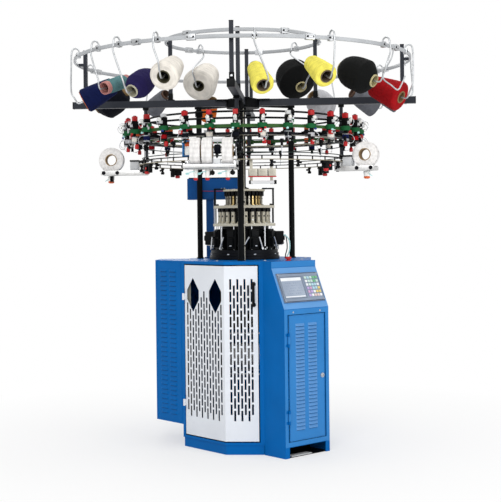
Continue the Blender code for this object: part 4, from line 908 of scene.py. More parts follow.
def console_inside():
    """Mounting plate, modules with their terminals, and cable ducts behind the console's door."""
    backplate = new("console_backplate", ZINC, slot=None)
    box(backplate, (0.25, 0.002, 0.56), CONSOLE @ at(CONSOLE_MIDDLE, 0.128, 0.385), 0.0005)
    modules, terminals = new("console_modules", PALE, slot=None), new("console_terminals", GREEN, slot=None)
    for row, (z, height) in enumerate(((0.585, 0.11), (0.445, 0.09), (0.315, 0.11), (0.185, 0.08))):
        widths = (0.06, 0.045, 0.06, 0.045) if row % 2 else (0.085, 0.055, 0.07)
        x = CONSOLE_MIDDLE - sum(widths) / 2 - 0.002 * (len(widths) - 1)
        for width in widths:
            module = CONSOLE @ at(x + width / 2, 0.098, z)
            box(modules, (width - 0.003, 0.056, height), module, 0.003)
            for step in range(int(width / 0.010)):
                spot = module @ at(0.008 - width / 2 + step * 0.010, -0.029, 0.010 - height / 2)
                box(terminals, (0.006, 0.004, 0.008), spot)
            x += width + 0.002
    ducts = new("console_cable_ducts", GREY, slot=None)
    for z in (0.515, 0.38, 0.245):
        box(ducts, (0.24, 0.034, 0.024), CONSOLE @ at(CONSOLE_MIDDLE, 0.108, z), 0.002)


# Knitting head

def head_plate(name, radius, bore, low, high, node):
    lathe(new(name, CREAM, replaces=(node,)),
          [(bore, low), (radius - 0.001, low), (radius, low + 0.001), (radius, high - 0.0012),
           (radius - 0.0012, high), (bore, high)], HOME, 96, closed=True)


def selector_heads():
    """Two tiers of selector blades between ring plates, in front of a dark core."""
    head_plate("lower_tier_plate", 0.164, 0.084, 1.118, 1.132, "selector_tier_lower")
    head_plate("upper_tier_plate", 0.160, 0.076, 1.212, 1.226, "selector_tier_upper")
    core = new("selector_core", INK)
    for low, high, radius in ((1.1322, 1.2118, 0.106), (1.2262, 1.2998, 0.076)):
        lathe(core, [(radius - 0.006, low), (radius, low), (radius, high), (radius - 0.006, high)], HOME, 72,
              closed=True, ripple=lambda turn, level: 0.0008 * math.sin(turn * 72))
    blocks, caps = new("lower_selector_blocks", CREAM), new("lower_selector_caps", INK)
    holes, screws = new("lower_selector_hole_shade", INK), new("selector_screws", STEEL)
    for turn in (around(15 * (index + 0.5)) for index in range(24)):
        boxes(turn, (blocks, (0.015, 0.026, 0.056), (0, -0.1235, 1.165), 0.0016),
              (blocks, (0.0205, 0.031, 0.006), (0, -0.1245, 1.1352), 0.0012),
              (blocks, (0.0175, 0.028, 0.006), (0, -0.124, 1.1402), 0.0012),
              (caps, (0.0215, 0.031, 0.0185), (0, -0.1232, 1.2022), 0.0014))
        box(caps, (0.006, 0.024, 0.075), turn @ around(7.5) @ at(0, -0.119, 1.1735), 0.0006)
        # A flat black disc on each block's face: painted shade standing in for the hole in the block.
        lathe(holes, [(0, 0), (0.005, 0), (0.005, 0.0006), (0.0036, 0.0009), (0, 0.0009)],
              turn @ at(0, -0.1366, 1.17) @ OUTWARDS, 20)
        screw(screws, turn, 0, 1.15, -0.1366, 0.0016, 0.0014)
        bolt(screws, turn @ at(0, -0.152, 1.132), 0.0026, 0.0026)
    for turn in map(around, (-93, 87)):
        box(caps, (0.012, 0.009, 0.079), turn @ at(0, -0.152, 1.172))
    bars = new("selector_tie_bars", STEEL)
    for turn in map(around, (-76, 100, 154, 206)):
        rod(bars, [(0, -0.154, 1.1325), (0, -0.154, 1.2115)], 0.0022, place=turn)
    steel, brass = new("upper_selector_blades", DULL_STEEL), new("upper_selector_gilt_blades", BRASS)
    black = new("upper_selector_caps", INK)
    for index in range(28):
        turn = around(360 / 28 * (index + 0.5))
        blade = brass if index in (2, 3, 4, 11, 19, 25) else steel
        boxes(turn, (blade, (0.0088, 0.012, 0.049), (0, -0.0915, 1.2508), 0.0018),
              (blade, (0.012, 0.02, 0.005), (0, -0.0935, 1.229)),
              (black, (0.015, 0.022, 0.0245), (0, -0.093, 1.2875), 0.0014))
        disc(black, turn @ at(0, -0.0977, 1.262) @ OUTWARDS, 0.0026, 0, 0.0006, 14)


def head_top():
    """The top plate with its two brackets and screws, and the tube from it up to the creel's hub."""
    lathe(new("top_plate", CREAM, replaces=("head_top_plate",)),
          [(0, 1.3002), (0.109, 1.3002), (0.11, 1.3012), (0.11, 1.3088), (0.1088, 1.31), (0.07, 1.31),
           (0.069, 1.3125), (0.04, 1.3125), (0.039, 1.31), (0, 1.31)], HOME, 96)
    lathe(new("head_centre_tube", BLACK),
          [(0, 1.3128), (0.026, 1.3128), (0.026, 1.318), (0.0135, 1.322), (0.0105, 1.326), (0.0105, 1.716),
           (0.016, 1.72), (0.016, 1.749), (0, 1.749)], HOME, 32)
    brackets, screws = new("head_brackets", BLACK), new("head_top_screws", STEEL)
    for degrees, width in ((-90, 0.02), (90, 0.013)):
        turn = around(degrees)
        boxes(turn, (brackets, (width, 0.064, 0.0075), (0, -0.127, 1.3138), 0.0012),
              (brackets, (width, 0.0095, 0.09), (0, -0.1532, 1.2715), 0.0012),
              (brackets, (width, 0.024, 0.0075), (0, -0.146, 1.2302), 0.0012))
        for y, z in ((-0.103, 1.3175), (-0.118, 1.3175), (-0.14, 1.234)):
            bolt(screws, turn @ at(0, y, z), 0.0024, 0.0022)
    for index in range(12):
        bolt(screws, around(30 * index) @ at(0, -0.092, 1.31), 0.0024, 0.0022)


# Angle round the head, and how far the lever leans
ACTUATOR_LEVERS = (
    (-74, 0.006), (-38, -0.008), (6, -0.016), (32, 0.006), (70, 0.01), (104, -0.008), (140, 0.012),
    (178, -0.01), (-112, 0.008), (-148, -0.012),
)


def actuators():
    """The dark skirt of the head: cam ring, actuator boxes, levers, light rods and their screws."""
    lathe(new("cam_ring_body", DARK_STEEL, replaces=("cam_ring",)),
          [(0.112, 0.9453), (0.182, 0.9453), (0.184, 0.9473), (0.184, 0.962), (0.18, 0.964), (0.18, 0.978),
           (0.176, 0.98), (0.176, 0.9945), (0.174, 0.996), (0.112, 0.996)], HOME, 96, closed=True)
    lathe(new("head_skirt", INK), [(0.112, 0.996), (0.118, 0.996), (0.118, 1.1), (0.128, 1.104),
                                   (0.128, 1.1175), (0.112, 1.1175)], HOME, 72, closed=True,
          ripple=lambda turn, level: 0.0012 * math.sin(turn * 48))
    housing, sockets = new("actuator_boxes", INK), new("actuator_sockets", BLACK, slot=None)
    pins, screws, steel = new("actuator_pins", PALE), new("actuator_screws", ZINC), new("head_levers", STEEL)
    for index in range(8):
        turn = around(45 * (index + 0.5))
        boxes(turn, (housing, (0.05, 0.032, 0.104), (0, -0.14, 1.0505), 0.003),
              (housing, (0.036, 0.022, 0.03), (0, -0.158, 1.078), 0.003),
              (sockets, (0.03, 0.02, 0.046), (0, -0.1625, 1.032), 0.002),
              *((sockets, (0.024, 0.002, 0.0036), (0, -0.1732, z), 0.0006) for z in (1.05, 1.042, 1.034)),
              (pins, (0.0105, 0.003, 0.005), (0.004, -0.1735, 1.017)),
              (pins, (0.011, 0.0018, 0.0045), (-0.006, -0.1806, 0.9735), 0.0006))
        for x in (-0.019, 0.019):
            screw(sockets, turn, x, 1.094, -0.156, 0.0024, 0.0022)
        gap = turn @ around(22.5)
        boxes(gap, (housing, (0.014, 0.022, 0.08), (0, -0.14, 1.04), 0.002),
              (housing, (0.03, 0.026, 0.018), (0, -0.15, 1.0055), 0.002))
        screw(screws, gap, 0.010, 1.0055, -0.163, 0.0026, 0.0024)
    for degrees, lean in ACTUATOR_LEVERS:
        turn = around(degrees)
        rod(steel, [(-lean, -0.172, 1.062), (0, -0.1765, 1.035), (lean * 1.3, -0.179, 1.004)], 0.0036,
            place=turn)
        disc(steel, turn @ at(lean * 1.3, -0.1775, 1.004) @ OUTWARDS, 0.0058, -0.004, 0.004, 16)
    for turn in map(around, (-45, 45, 135, 225)):
        lathe(steel, [(0, 0.9963), (0.0085, 0.9963), (0.0085, 1.002), (0.0048, 1.004), (0.0048, 1.114),
                      (0.0078, 1.115), (0.0078, 1.1178), (0, 1.1178)], turn @ at(0, -0.158, 0), 20)
    for turn in map(around, (18, 72, 108, 162, 198, 252, 288, 342)):
        rod(steel, [(0, -0.15, 0.997), (0, -0.15, 1.1175)], 0.0022, 8, place=turn)


def side_actuators():
    """A motor box on a bracket at each side of the head, and two formed leads from the right one."""
    bracket, housing = new("side_actuator_brackets", ZINC), new("side_actuator_boxes", INK)
    screws = new("side_actuator_screws", STEEL)
    for turn in map(around, (-90, 90)):
        boxes(turn, (bracket, (0.026, 0.04, 0.004), (0, -0.18, 1.0185), 0.0008),
              (bracket, (0.02, 0.004, 0.024), (0, -0.1785, 1.0065), 0.0008),
              (housing, (0.04, 0.046, 0.07), (0, -0.1835, 1.056), 0.004),
              (housing, (0.03, 0.012, 0.034), (0, -0.156, 1.058), 0.002))
        lathe(housing, [(0, 0), (0.014, 0), (0.014, 0.004), (0.012, 0.006), (0, 0.006)],
              turn @ at(0, -0.2065, 1.056) @ OUTWARDS, 28)
        for x in (-0.014, 0.014):
            for z in (1.028, 1.084):
                screw(screws, turn, x, z, -0.2065, 0.0022, 0.0022)
    for name, y, bow, material in (("dark", 0.006, 0.222, INK), ("pale", -0.008, 0.236, CYAN_LENS)):
        route = [(0.206, y, 1.066), (0.216, y, 1.068), (bow, y, 1.04), (bow + 0.002, y, 1),
                 (bow - 0.006, y, 0.968), (0.213, y, TABLE - 0.001)]
        rod(new("side_actuator_lead_" + name, material, slot=None), smooth_path(route), 0.003)


def drive_details():
    """Cover, bolts, oil line and panel of the drive box beside the column."""
    box(new("drive_box_cover", BLACK), (0.286, 0.11, 0.006), at(-0.168, 0.23, 1.38), 0.0015)
    bolts = new("drive_box_bolts", DEEP_BLUE)
    for x in (-0.3, -0.036):
        for z in (1.278, 1.363):
            screw(bolts, HOME, x, z, 0.1675, 0.0034, 0.003)
    box(bolts, (0.06, 0.08, 0.006), at(-0.198, 0.215, TABLE + 0.0035))
    line = [(-0.262, 1.372), (-0.262, 1.33), (-0.258, 1.314), (-0.24, 1.31), (-0.17, 1.308), (-0.11, 1.309),
            (-0.08, 1.309)]
    rod(new("drive_box_oil_line", RED), smooth_path([(x, 0.164, z) for x, z in line]), 0.0016)
    rim(new("drive_box_panel", DEEP_BLUE), at(-0.168, 0.1675, 1.3205), 0.288, 0.1, 0.002, 0.0012)


# Take-down inside the base

def gear(bm, place, radius, teeth, thick):
    """A spur gear with a hub."""
    def tooth(turn, level):
        return radius * 0.06 * math.tanh(3 * math.sin(turn * teeth)) if level <= thick else 0

    lathe(bm, [(0, 0), (radius * 0.3, 0), (radius, 0), (radius, thick), (radius * 0.35, thick),
               (radius * 0.35, thick + 0.006), (0, thick + 0.006)], place, teeth * 6, ripple=tooth)


def take_down():
    """Bearings, gears and drive of the draw rollers, the tie rods, and the roll of wound cloth."""
    finishes = {"bearings": STEEL, "screws": ZINC, "gears": DULL_STEEL, "ties": STEEL, "drive": DEEP_BLUE}
    bearings, screws, gears, ties, drive = (new("take_down_" + name, material, TAKE_DOWN)
                                            for name, material in finishes.items())
    for side in (-1, 1):
        cheek = at(side * CHEEK, 0, 0)
        for y, level in DRAW_ROLLERS:
            seat = cheek @ at(0, y, level) @ sideways(side)
            if side > 0:
                gear(gears, seat @ at(0, 0, 0.002), 0.0205, 18, 0.010)
                continue
            lathe(bearings, [(0, 0), (0.0185, 0), (0.0185, 0.005), (0.016, 0.007), (0.008, 0.007),
                             (0.008, 0.01), (0, 0.01)], seat, 32)
            for step in range(3):
                turn = math.tau * (step + 0.25) / 3
                bolt(screws, seat @ at(0.0135 * math.cos(turn), 0.0135 * math.sin(turn), 0.0066), 0.0018,
                     0.0016)
        lathe(bearings, [(0, 0), (0.024, 0), (0.024, 0.006), (0.021, 0.009), (0.012, 0.009), (0.012, 0.014),
                         (0, 0.014)], cheek @ at(0, 0, CLOTH_ROLL_LEVEL) @ sideways(side), 36)
        for y in (-0.082, 0.082):
            for z in (0.35, 0.52, 0.69):
                bolt(screws, cheek @ at(0, y, z) @ sideways(side), 0.004, 0.0034)
        box(drive, (0.004, 0.02, 0.09), at(side * (CHEEK - 0.0125), -0.086, 0.73))
    for y, z, radius in ((-0.082, 0.35, 0.0065), (0.082, 0.35, 0.0065), (-0.07, 0.56, 0.005)):
        rod(ties, [(-0.1155, y, z), (0.1155, y, z)], radius, 16)
    motor = at(-(CHEEK + 0.018), 0.048, 0)
    box(drive, (0.034, 0.06, 0.09), motor @ at(0, 0, 0.56), 0.004)
    lathe(drive, [(0, 0), (0.02, 0), (0.02, 0.03), (0.017, 0.034), (0, 0.034)], motor @ at(0, 0, 0.605), 32)

    across = at(0, 0, CLOTH_ROLL_LEVEL) @ sideways()
    cloth = new("fabric_roll_cloth", YARNS["elastane"], TAKE_DOWN, replaces=("fabric_roll",), angle=60)
    lathe(cloth, rounded([(0.021, -0.098), (0.055, -0.1015), (0.0575, -0.097), (0.0578, 0), (0.0575, 0.097),
                          (0.055, 0.1015), (0.021, 0.098)], 2), across, 96, ripple=winding(3, 0.0006))
    lathe(new("fabric_roll_core", STEEL, TAKE_DOWN),
          [(0, -0.114), (0.012, -0.114), (0.012, -0.104), (0.021, -0.103), (0.021, 0.103), (0.012, 0.104),
           (0.012, 0.114), (0, 0.114)], across, 32)


# Yarn feeders

FEEDER_FINISH = {
    "black": (INK, "black_paint"), "red": (RED,), "steel": (STEEL,), "wire": (STEEL,), "ceramic": (CERAMIC,),
    "pale": (PALE,), "green": (GREEN,), "orange": (ORANGE,), "blue": (BLUE_LENS,), "cyan": (CYAN_LENS,),
    "white_yarn": (YARNS["white"], "white_yarn"), "navy_yarn": (YARNS["navy"], "black_yarn"),
    "blue_yarn": (YARNS["blue"], "blue_yarn"), "pale_yarn": (YARNS["pale"], "grey_yarn"),
    "red_yarn": (YARNS["red"], "red_yarn"),
}
WOUND = ("navy_yarn", "white_yarn", "navy_yarn", "pale_yarn", "white_yarn", "blue_yarn", "red_yarn")


def feeder_boxes(index):
    """The boxes of one feeder: housing, cap, arm, and the small parts that differ from feeder to feeder."""
    rows = [
        ("black", (0.026, 0.03, 0.042), (0, 0, 1.631), 0.004),
        ("black", (0.02, 0.058, 0.013), (0, 0.042, 1.5705), 0.002),
        ("black", (0.016, 0.016, 0.03), (0, -0.004, 1.58), 0.003),
        ("black", (0.018, 0.016, 0.012), (0.004, 0.046, 1.58), 0.002),
        ("black", (0.008, 0.03, 0.01), (0.014, -0.006, 1.648), 0.0015),
        ("pale", (0.017, 0.01, 0.014), (0, -0.0185, 1.629), 0.002),
    ]
    if index % 5 != 2:
        rows += [("red", (0.024, 0.024, 0.026), (0, 0, 1.664), 0.004),
                 ("black", (0.012, 0.012, 0.004), (0, 0, 1.6785))]
    else:
        rows += [("pale", (0.022, 0.022, 0.02), (0, 0, 1.661), 0.003)]
    if index % 3 == 1:
        rows += [("red", (0.02, 0.016, 0.019), (-0.014, -0.012, 1.5735), 0.003),
                 ("pale", (0.008, 0.004, 0.008), (-0.014, -0.021, 1.5735))]
    elif index % 3 == 2:
        rows += [("green", (0.022, 0.02, 0.016), (0.018, 0.002, 1.622), 0.003),
                 ("steel", (0.01, 0.026, 0.004), (0.018, -0.008, 1.6325), 0.0008)]
    if index % 2:
        rows += [("black", (0.01, 0.012, 0.02), (-0.016, -0.006, 1.55), 0.002)]
    else:
        rows += [("pale", (0.012, 0.01, 0.024), (0.018, -0.004, 1.612), 0.002)]
    return rows


def feeder(index, parts):
    """One positive feeder: housing, pulley, red cap, wound drum, eyelets and stop wires."""
    turn = around(360 / FEEDER_COUNT * index) @ at(0, -FEEDER_CIRCLE, 0)
    odd = index % 2
    boxes(turn, *((parts[name], *row) for name, *row in feeder_boxes(index)))
    lathe(parts["black"], [(0, 1.59), (0.0225, 1.59), (0.0225, 1.5925), (0.019, 1.594), (0.019, 1.606),
                           (0.0225, 1.6075), (0.0225, 1.61), (0, 1.61)], turn, 28)
    lathe(parts["green"], [(0.0186, BELT_LEVEL - 0.011), (0.0236, BELT_LEVEL - 0.011), (0.024, BELT_LEVEL),
                           (0.0236, BELT_LEVEL + 0.011), (0.0186, BELT_LEVEL + 0.011)], turn, 28, closed=True)
    lathe(parts["red" if index % 3 else "orange"],
          [(0, 1.586), (0.01, 1.586), (0.011, 1.588), (0.011, 1.608), (0.009, 1.61), (0, 1.61)],
          turn @ at(0.004, 0.046, 0), 20)
    lathe(parts["steel" if index % 3 else "black"],
          [(0, 1.54), (0.008, 1.54), (0.0165, 1.5425), (0.018, 1.545), (0.015, 1.548), (0.0145, 1.568),
           (0.0175, 1.57), (0.0185, 1.572), (0.0165, 1.5745), (0, 1.5745)], turn, 28)
    lathe(parts[WOUND[index % 7]], [(0.0145, 1.5485), (0.0162, 1.5492), (0.0166, 1.558), (0.0162, 1.5672),
                                    (0.0145, 1.568)], turn, 28,
          closed=True, ripple=lambda angle, level: 0.0002 * math.sin(level * 6000 + angle))
    sweep = 0.012 if odd else -0.012
    for wire in ([(0, -0.012, 1.645), (0, -0.028, 1.652), (0, -0.042, 1.646), (0, -0.048, 1.63),
                  (0, -0.04, 1.615), (0, -0.03, 1.612)],
                 [(sweep * 0.3, -0.01, 1.574), (sweep, -0.03, 1.566), (sweep * 1.4, -0.04, 1.548),
                  (sweep, -0.034, 1.53), (0, -0.022, 1.526), (-sweep * 0.5, -0.014, 1.532)]):
        rod(parts["wire"], smooth_path(wire, 5), 0.0012, 8, place=turn)
    for y, z, size in ((-0.03, 1.612, 0.005), (-0.02, 1.5265, 0.0045)):
        lathe(parts["ceramic"], [(size, -0.0018), (size, 0.0018), (size - 0.0016, 0.0024), (size - 0.0022, 0),
                                 (size - 0.0016, -0.0024)], turn @ at(0, y, z), 16, closed=True)
    lathe(parts["ceramic"], [(0, -0.004), (0.0085, -0.004), (0.0085, -0.002), (0.003, 0), (0.0085, 0.002),
                             (0.0085, 0.004), (0, 0.004)], turn @ at(0, -0.0285, 1.64) @ OUTWARDS, 20)
    lens = parts[("cyan", "red", "cyan", "blue")[index % 4]]
    lathe(lens, [(0, 0), (0.0058, 0), (0.0058, 0.006), (0.0042, 0.0095), (0, 0.0105)],
          turn @ at(0.011 if odd else -0.011, -0.016, 1.586) @ OUTWARDS, 16)
    if odd:
        stop = turn @ at(0.01, 0.006, 0)
        lathe(parts["red"], [(0, 1.512), (0.008, 1.512), (0.01, 1.516), (0.01, 1.53), (0.006, 1.536),
                             (0, 1.536)],
              stop, 20)
        disc(parts["black"], stop, 0.006, 1.5355, 1.564, 16)
    else:
        disc(parts["black"], turn @ at(-0.006, 0.006, 0), 0.007, 1.522, 1.5405, 16)
    bolt(parts["steel"], turn @ at(0, 0.062, 1.577))


def feeder_ring():
    plate = new("feeder_ring_plate", DARK_STEEL, slot="black_paint", replaces=("feeder_ring",))
    lathe(plate, ring_section(0.5395, 1.566, 0.03, 0.0115, 0.0012, 1), HOME, 144, closed=True)
    parts = {}
    for key, (material, *slot) in FEEDER_FINISH.items():
        parts[key] = new("feeder_" + key, material, MACHINE, *slot)
    for index in range(FEEDER_COUNT):
        feeder(index, parts)


def belt():
    """The toothed belt: straight from pulley to pulley, bent round each."""
    bm = new("feeder_toothed_belt", OLIVE, replaces=("feeder_belt",), angle=60)
    count = FEEDER_COUNT * 24
    step = math.tau / FEEDER_COUNT
    tight = FEEDER_CIRCLE - 0.0195
    rows = []
    for index in range(count):
        turn = math.tau * index / count
        swing = (turn + step / 2) % step - step / 2
        straight = tight * math.cos(step / 2) / math.cos(step / 2 - abs(swing))
        outside = straight + (tight - straight) * math.exp(-(swing / 0.02) ** 2)
        inside = outside - 0.0018 - (0.0009 if index % 2 else 0)
        outline = ((outside, -0.008), (outside, 0.008), (inside, 0.008), (inside, -0.008))
        rows.append([bm.verts.new((math.sin(turn) * reach, -math.cos(turn) * reach, BELT_LEVEL + z))
                     for reach, z in outline])
    for low, high in zip(rows, rows[1:] + rows[:1]):
        for k in range(4):
            bm.faces.new([low[k], low[(k + 1) % 4], high[(k + 1) % 4], high[k]])


def guide_rings():
    """The tan ring of yarn guides, its eyelets, stays and hanger clamps, and two wire rings below."""
    lathe(new("yarn_guide_ring", TAN), ring_section(GUIDE_CIRCLE, 1.566, 0.02, 0.007, 0.001, 1), HOME, 144,
          closed=True)
    eyelets, stays = new("guide_ring_eyelets", CERAMIC), new("guide_ring_stays", DARK_STEEL)
    clamps, screws = new("hanger_clamps", BLACK), new("hanger_screws", ZINC)
    for index in range(60):
        lathe(eyelets, [(0.0042, -0.004), (0.0058, -0.004), (0.0058, 0.004), (0.0042, 0.004), (0.003, 0)],
              around(6 * index) @ at(0, -GUIDE_CIRCLE, 1.5655), 12, closed=True)
    for turn in map(around, QUARTERS):
        for z in (1.677, 1.637, 1.566, 1.5345, 1.4765):
            box(clamps, (0.026, 0.026, 0.018), turn @ at(0, -HANGER_CIRCLE, z), 0.002)
            screw(screws, turn, 0, z, -HANGER_CIRCLE - 0.013, 0.0028, 0.0026)
        boxes(turn, (clamps, (0.03, 0.034, 0.01), (0, -0.52, 1.4675), 0.0015),
              (clamps, (0.03, 0.03, 0.012), (0, -HANGER_CIRCLE, 1.742), 0.0015),
              (stays, (0.018, 0.06, 0.005), (0, -0.48, 1.56)),
              (stays, (0.016, 0.084, 0.006), (0, -0.555, 1.637)))
    for index in range(12):
        box(stays, (0.014, 0.058, 0.004), around(30 * index + 15) @ at(0, -0.497, 1.5615))

    rings, knobs = new("wire_rings", DARK_GREEN), new("wire_ring_knobs", INK)
    posts = new("wire_ring_posts", STEEL)
    for level in (1.5345, 1.4765):
        lathe(rings, ring_section(WIRE_CIRCLE, level, 0.0045, 0.0045, 0.0015, 2), HOME, 144, closed=True)
    for degrees in (-68, -37, -15, 24, 50, 96, 130, 160, 200, 236):
        place = around(degrees) @ at(0, -WIRE_CIRCLE, 0)
        box(knobs, (0.016, 0.016, 0.02), place @ at(0, 0, 1.532), 0.003)
        lathe(knobs, [(0, 1.508), (0.005, 1.508), (0.0065, 1.512), (0.0065, 1.524), (0, 1.524)], place, 16)
        rod(posts, [(0, 0, 1.4625), (0, 0, 1.545)], 0.0022, 8, place=place)


def lower_ring():
    """Two thin plates kept apart by spacers, and the knobs, lamps and boxes that hang under them."""
    for name, level, material, slot, node in (("lower", 1.44, TAN, "cream_plate", ("lower_ring",)),
                                              ("upper", 1.4585, INK, "black_paint", ())):
        lathe(new("lower_ring_plate_" + name, material, MACHINE, slot, node),
              [(0.522, level), (0.5495, level), (0.55, level + 0.0005), (0.55, level + 0.003),
               (0.5495, level + 0.0035), (0.522, level + 0.0035)], HOME, 192, closed=True)
    spacers = new("lower_ring_spacers", INK, slot="black_paint")
    for index in range(36):
        disc(spacers, around(10 * index + 3) @ at(0, -0.532, 0), 0.0034, 1.4433, 1.4587, 12)
    knobs, lamps = new("lower_ring_knobs", INK), new("lower_ring_signal_lamps", RED)
    screws = new("lower_ring_screws", ZINC)
    for index in range(24):
        bolt(screws, around(15 * index + 5) @ at(0, -0.53, 1.462), 0.0034, 0.0028)
    for degrees in (-78, -51, -30, 18, 33, 66, 112, 140, 172, 205, 240, 262):
        place = around(degrees) @ at(0, -LOWER_CIRCLE, 1.44)
        lathe(knobs, [(0, -0.034), (0.007, -0.034), (0.01, -0.03), (0.01, -0.022), (0.005, -0.019),
                      (0.005, -0.01), (0.009, -0.008), (0.009, -0.0003), (0, -0.0003)], place, 20)
        box(knobs, (0.022, 0.012, 0.01), place @ at(0.009, 0, -0.013), 0.002)
    for degrees in (-61, 54, 128, -132):
        place = around(degrees) @ at(0, -LOWER_CIRCLE, 0)
        boxes(place, (knobs, (0.084, 0.02, 0.012), (0, 0, 1.4337), 0.002),
              (knobs, (0.04, 0.026, 0.024), (-0.01, -0.002, 1.4155), 0.003),
              (knobs, (0.018, 0.018, 0.034), (0.028, 0, 1.4105), 0.003),
              (lamps, (0.012, 0.004, 0.01), (0.006, -0.016, 1.416)))
        lathe(lamps, [(0, 1.388), (0.01, 1.388), (0.013, 1.391), (0.013, 1.401), (0.01, 1.403), (0, 1.403)],
              place @ at(-0.01, -0.002, 0), 24)


def ring_fittings():
    """The yarn brake frame on the lower ring, and the boxes hung under its front."""
    place = around(-27) @ at(0, -0.53, 0)
    bars = new("yarn_brake_frame", LIGHT_BLUE)
    boxes(place, *((bars, (0.006, 0.014, 0.078), (x, 0, 1.5012)) for x in (-0.029, 0.029)),
          *((bars, (0.064, 0.016, 0.006), (0, 0, z)) for z in (1.4645, 1.5372)))
    lathe(new("yarn_brake_drum", CERAMIC),
          [(0, 1.468), (0.016, 1.468), (0.018, 1.471), (0.018, 1.508), (0.016, 1.511), (0, 1.511)], place, 32)
    lathe(new("yarn_brake_cap", ORANGE),
          [(0, 1.5113), (0.015, 1.5113), (0.017, 1.514), (0.017, 1.524), (0.01, 1.528), (0.004, 1.5343),
           (0, 1.5343)],
          place, 32)

    place = around(13) @ at(0, -0.53, 0)
    straps = new("signal_box_straps", DULL_STEEL)
    housing = new("signal_boxes", DULL_STEEL, slot="light_grey_paint")
    bar_level = 1.331
    strip, bar, ends = new("signal_box_strip", RED), new("signal_bar", PALE), new("signal_bar_ends", INK)
    for x in (-0.05, 0.05):
        box(straps, (0.014, 0.003, 0.118), place @ at(x, 0.016, 1.381), 0.0006)
    for x, width in ((-0.046, 0.04), (0, 0.044), (0.047, 0.038)):
        boxes(place, (housing, (width, 0.034, 0.036), (x, -0.003, 1.378), 0.002),
              (straps, (width * 0.6, 0.002, 0.01), (x, -0.0205, 1.386), 0.0006))
    boxes(place, (strip, (0.134, 0.036, 0.004), (0, -0.003, 1.3575), 0.0008),
          (bar, (0.116, 0.016, 0.015), (0.002, 0.006, bar_level), 0.002),
          (bar, (0.09, 0.017, 0.003), (-0.004, 0.006, bar_level)),
          (ends, (0.011, 0.02, 0.019), (0.0655, 0.006, bar_level), 0.002),
          (ends, (0.006, 0.018, 0.017), (-0.059, 0.006, bar_level)))


# Elastane units

def guide_cup(cups, tips, place, single):
    """The yarn guide under a bobbin: a white cup with a coloured rim, slim on the front unit."""
    size = 1.45 if single else 0.92
    low = -0.026 if single else -0.040
    lathe(cups, [(0, 0), (0.0105 * size, 0), (0.0125 * size, -0.004), (0.0115 * size, low * 0.6),
                 (0.0095 * size, low), (0, low)], place, 28)
    lathe(tips, [(0, low + 0.0005), (0.0096 * size, low + 0.0005), (0.0112 * size, low - 0.003),
                 (0.0104 * size, low - 0.009), (0.006 * size, low - 0.012), (0, low - 0.012)], place, 28)


def elastane_gearbox(name, turn, middle, level):
    housing = new(f"elastane_{name}_gearbox", PALE, slot="light_grey_paint")
    boxes(turn, (housing, (0.062, 0.046, 0.046), (middle, -0.5742, level + 0.0355), 0.003),
          (housing, (0.03, 0.004, 0.02), (middle, -0.5985, level + 0.034)),
          (new(f"elastane_{name}_gearbox_lid", INK), (0.068, 0.05, 0.008), (middle, -0.5742, level + 0.0628),
           0.002))


def elastane_brake(turn, reach, level):
    """The wound brake coil between the front unit's bobbins, its box and axle, and a grooved wheel."""
    coil, brake = new("elastane_front_brake_coil", YARNS["navy"]), new("elastane_front_brake_box", PALE)
    axle, wheel = new("elastane_front_brake_axle", STEEL), new("elastane_front_guide_wheel", INK)
    axis = 1.484
    lathe(coil, rounded([(0.01, -0.015), (0.022, -0.015), (0.023, 0), (0.022, 0.015), (0.01, 0.015)], 2),
          turn @ at(-0.083, -reach, axis) @ sideways(), 40, closed=True,
          ripple=lambda angle, z: 0.0006 * math.sin(angle * 9 + z * 900))
    rod(axle, [(-0.105, -reach, axis), (-0.061, -reach, axis)], 0.0045, 12, place=turn)
    rod(axle, [(-0.083, 0.004 - reach, axis), (-0.083, 0.004 - reach, 1.519)], 0.003, place=turn)
    rod(axle, [(0.003, 0.01 - reach, 1.49), (0.036, 0.01 - reach, 1.49)], 0.0035, 12, place=turn)
    boxes(turn, *((axle, (0.002, 0.012, 1.487 - level), (x, -reach, (1.487 + level) / 2), 0.0004)
                  for x in (-0.105, -0.061)),
          (axle, (0.003, 0.012, 1.494 - level), (0.0045, 0.01 - reach, (1.494 + level) / 2), 0.0005),
          (brake, (0.034, 0.04, 0.03), (-0.083, -reach - 0.018, level + 0.0165), 0.003),
          (brake, (0.046, 0.02, 0.016), (-0.083, 0.004 - reach, 1.526), 0.003))
    lathe(wheel, [(0, -0.012), (0.021, -0.012), (0.023, -0.008), (0.018, -0.003), (0.018, 0.003),
                  (0.023, 0.008),
                  (0.021, 0.012), (0, 0.012)], turn @ at(0.02, 0.01 - reach, 1.49) @ sideways(), 36)


def elastane_bobbin(suffix, place):
    half = BOBBIN_WIDTH / 2
    name, body = "elastane_bobbin_" + suffix, "bobbin_" + suffix
    outline = [(0.031, 0.001 - half), (BOBBIN - 0.01, -half), (BOBBIN - 0.0015, 0.002 - half),
               (BOBBIN, 0.007 - half), (BOBBIN, half - 0.007), (BOBBIN - 0.0015, half - 0.002),
               (BOBBIN - 0.01, half), (0.031, half - 0.001)]
    lathe(new(name + "_yarn", YARNS["elastane"], body, replaces=(name,), angle=60, place=place),
          rounded(outline, 2), HOME, 96, ripple=lambda angle, z: 0.00025 * math.sin(z * 2600 + angle * 2))
    wall = [(BOBBIN_BORE, -half - 0.002), (0.0305, -half - 0.002), (0.031, -half), (0.031, half),
            (0.0305, half + 0.002), (BOBBIN_BORE, half + 0.002)]
    lathe(new(name + "_core", CARD, body, "cream_plate", place=place), wall, HOME, 64, closed=True)


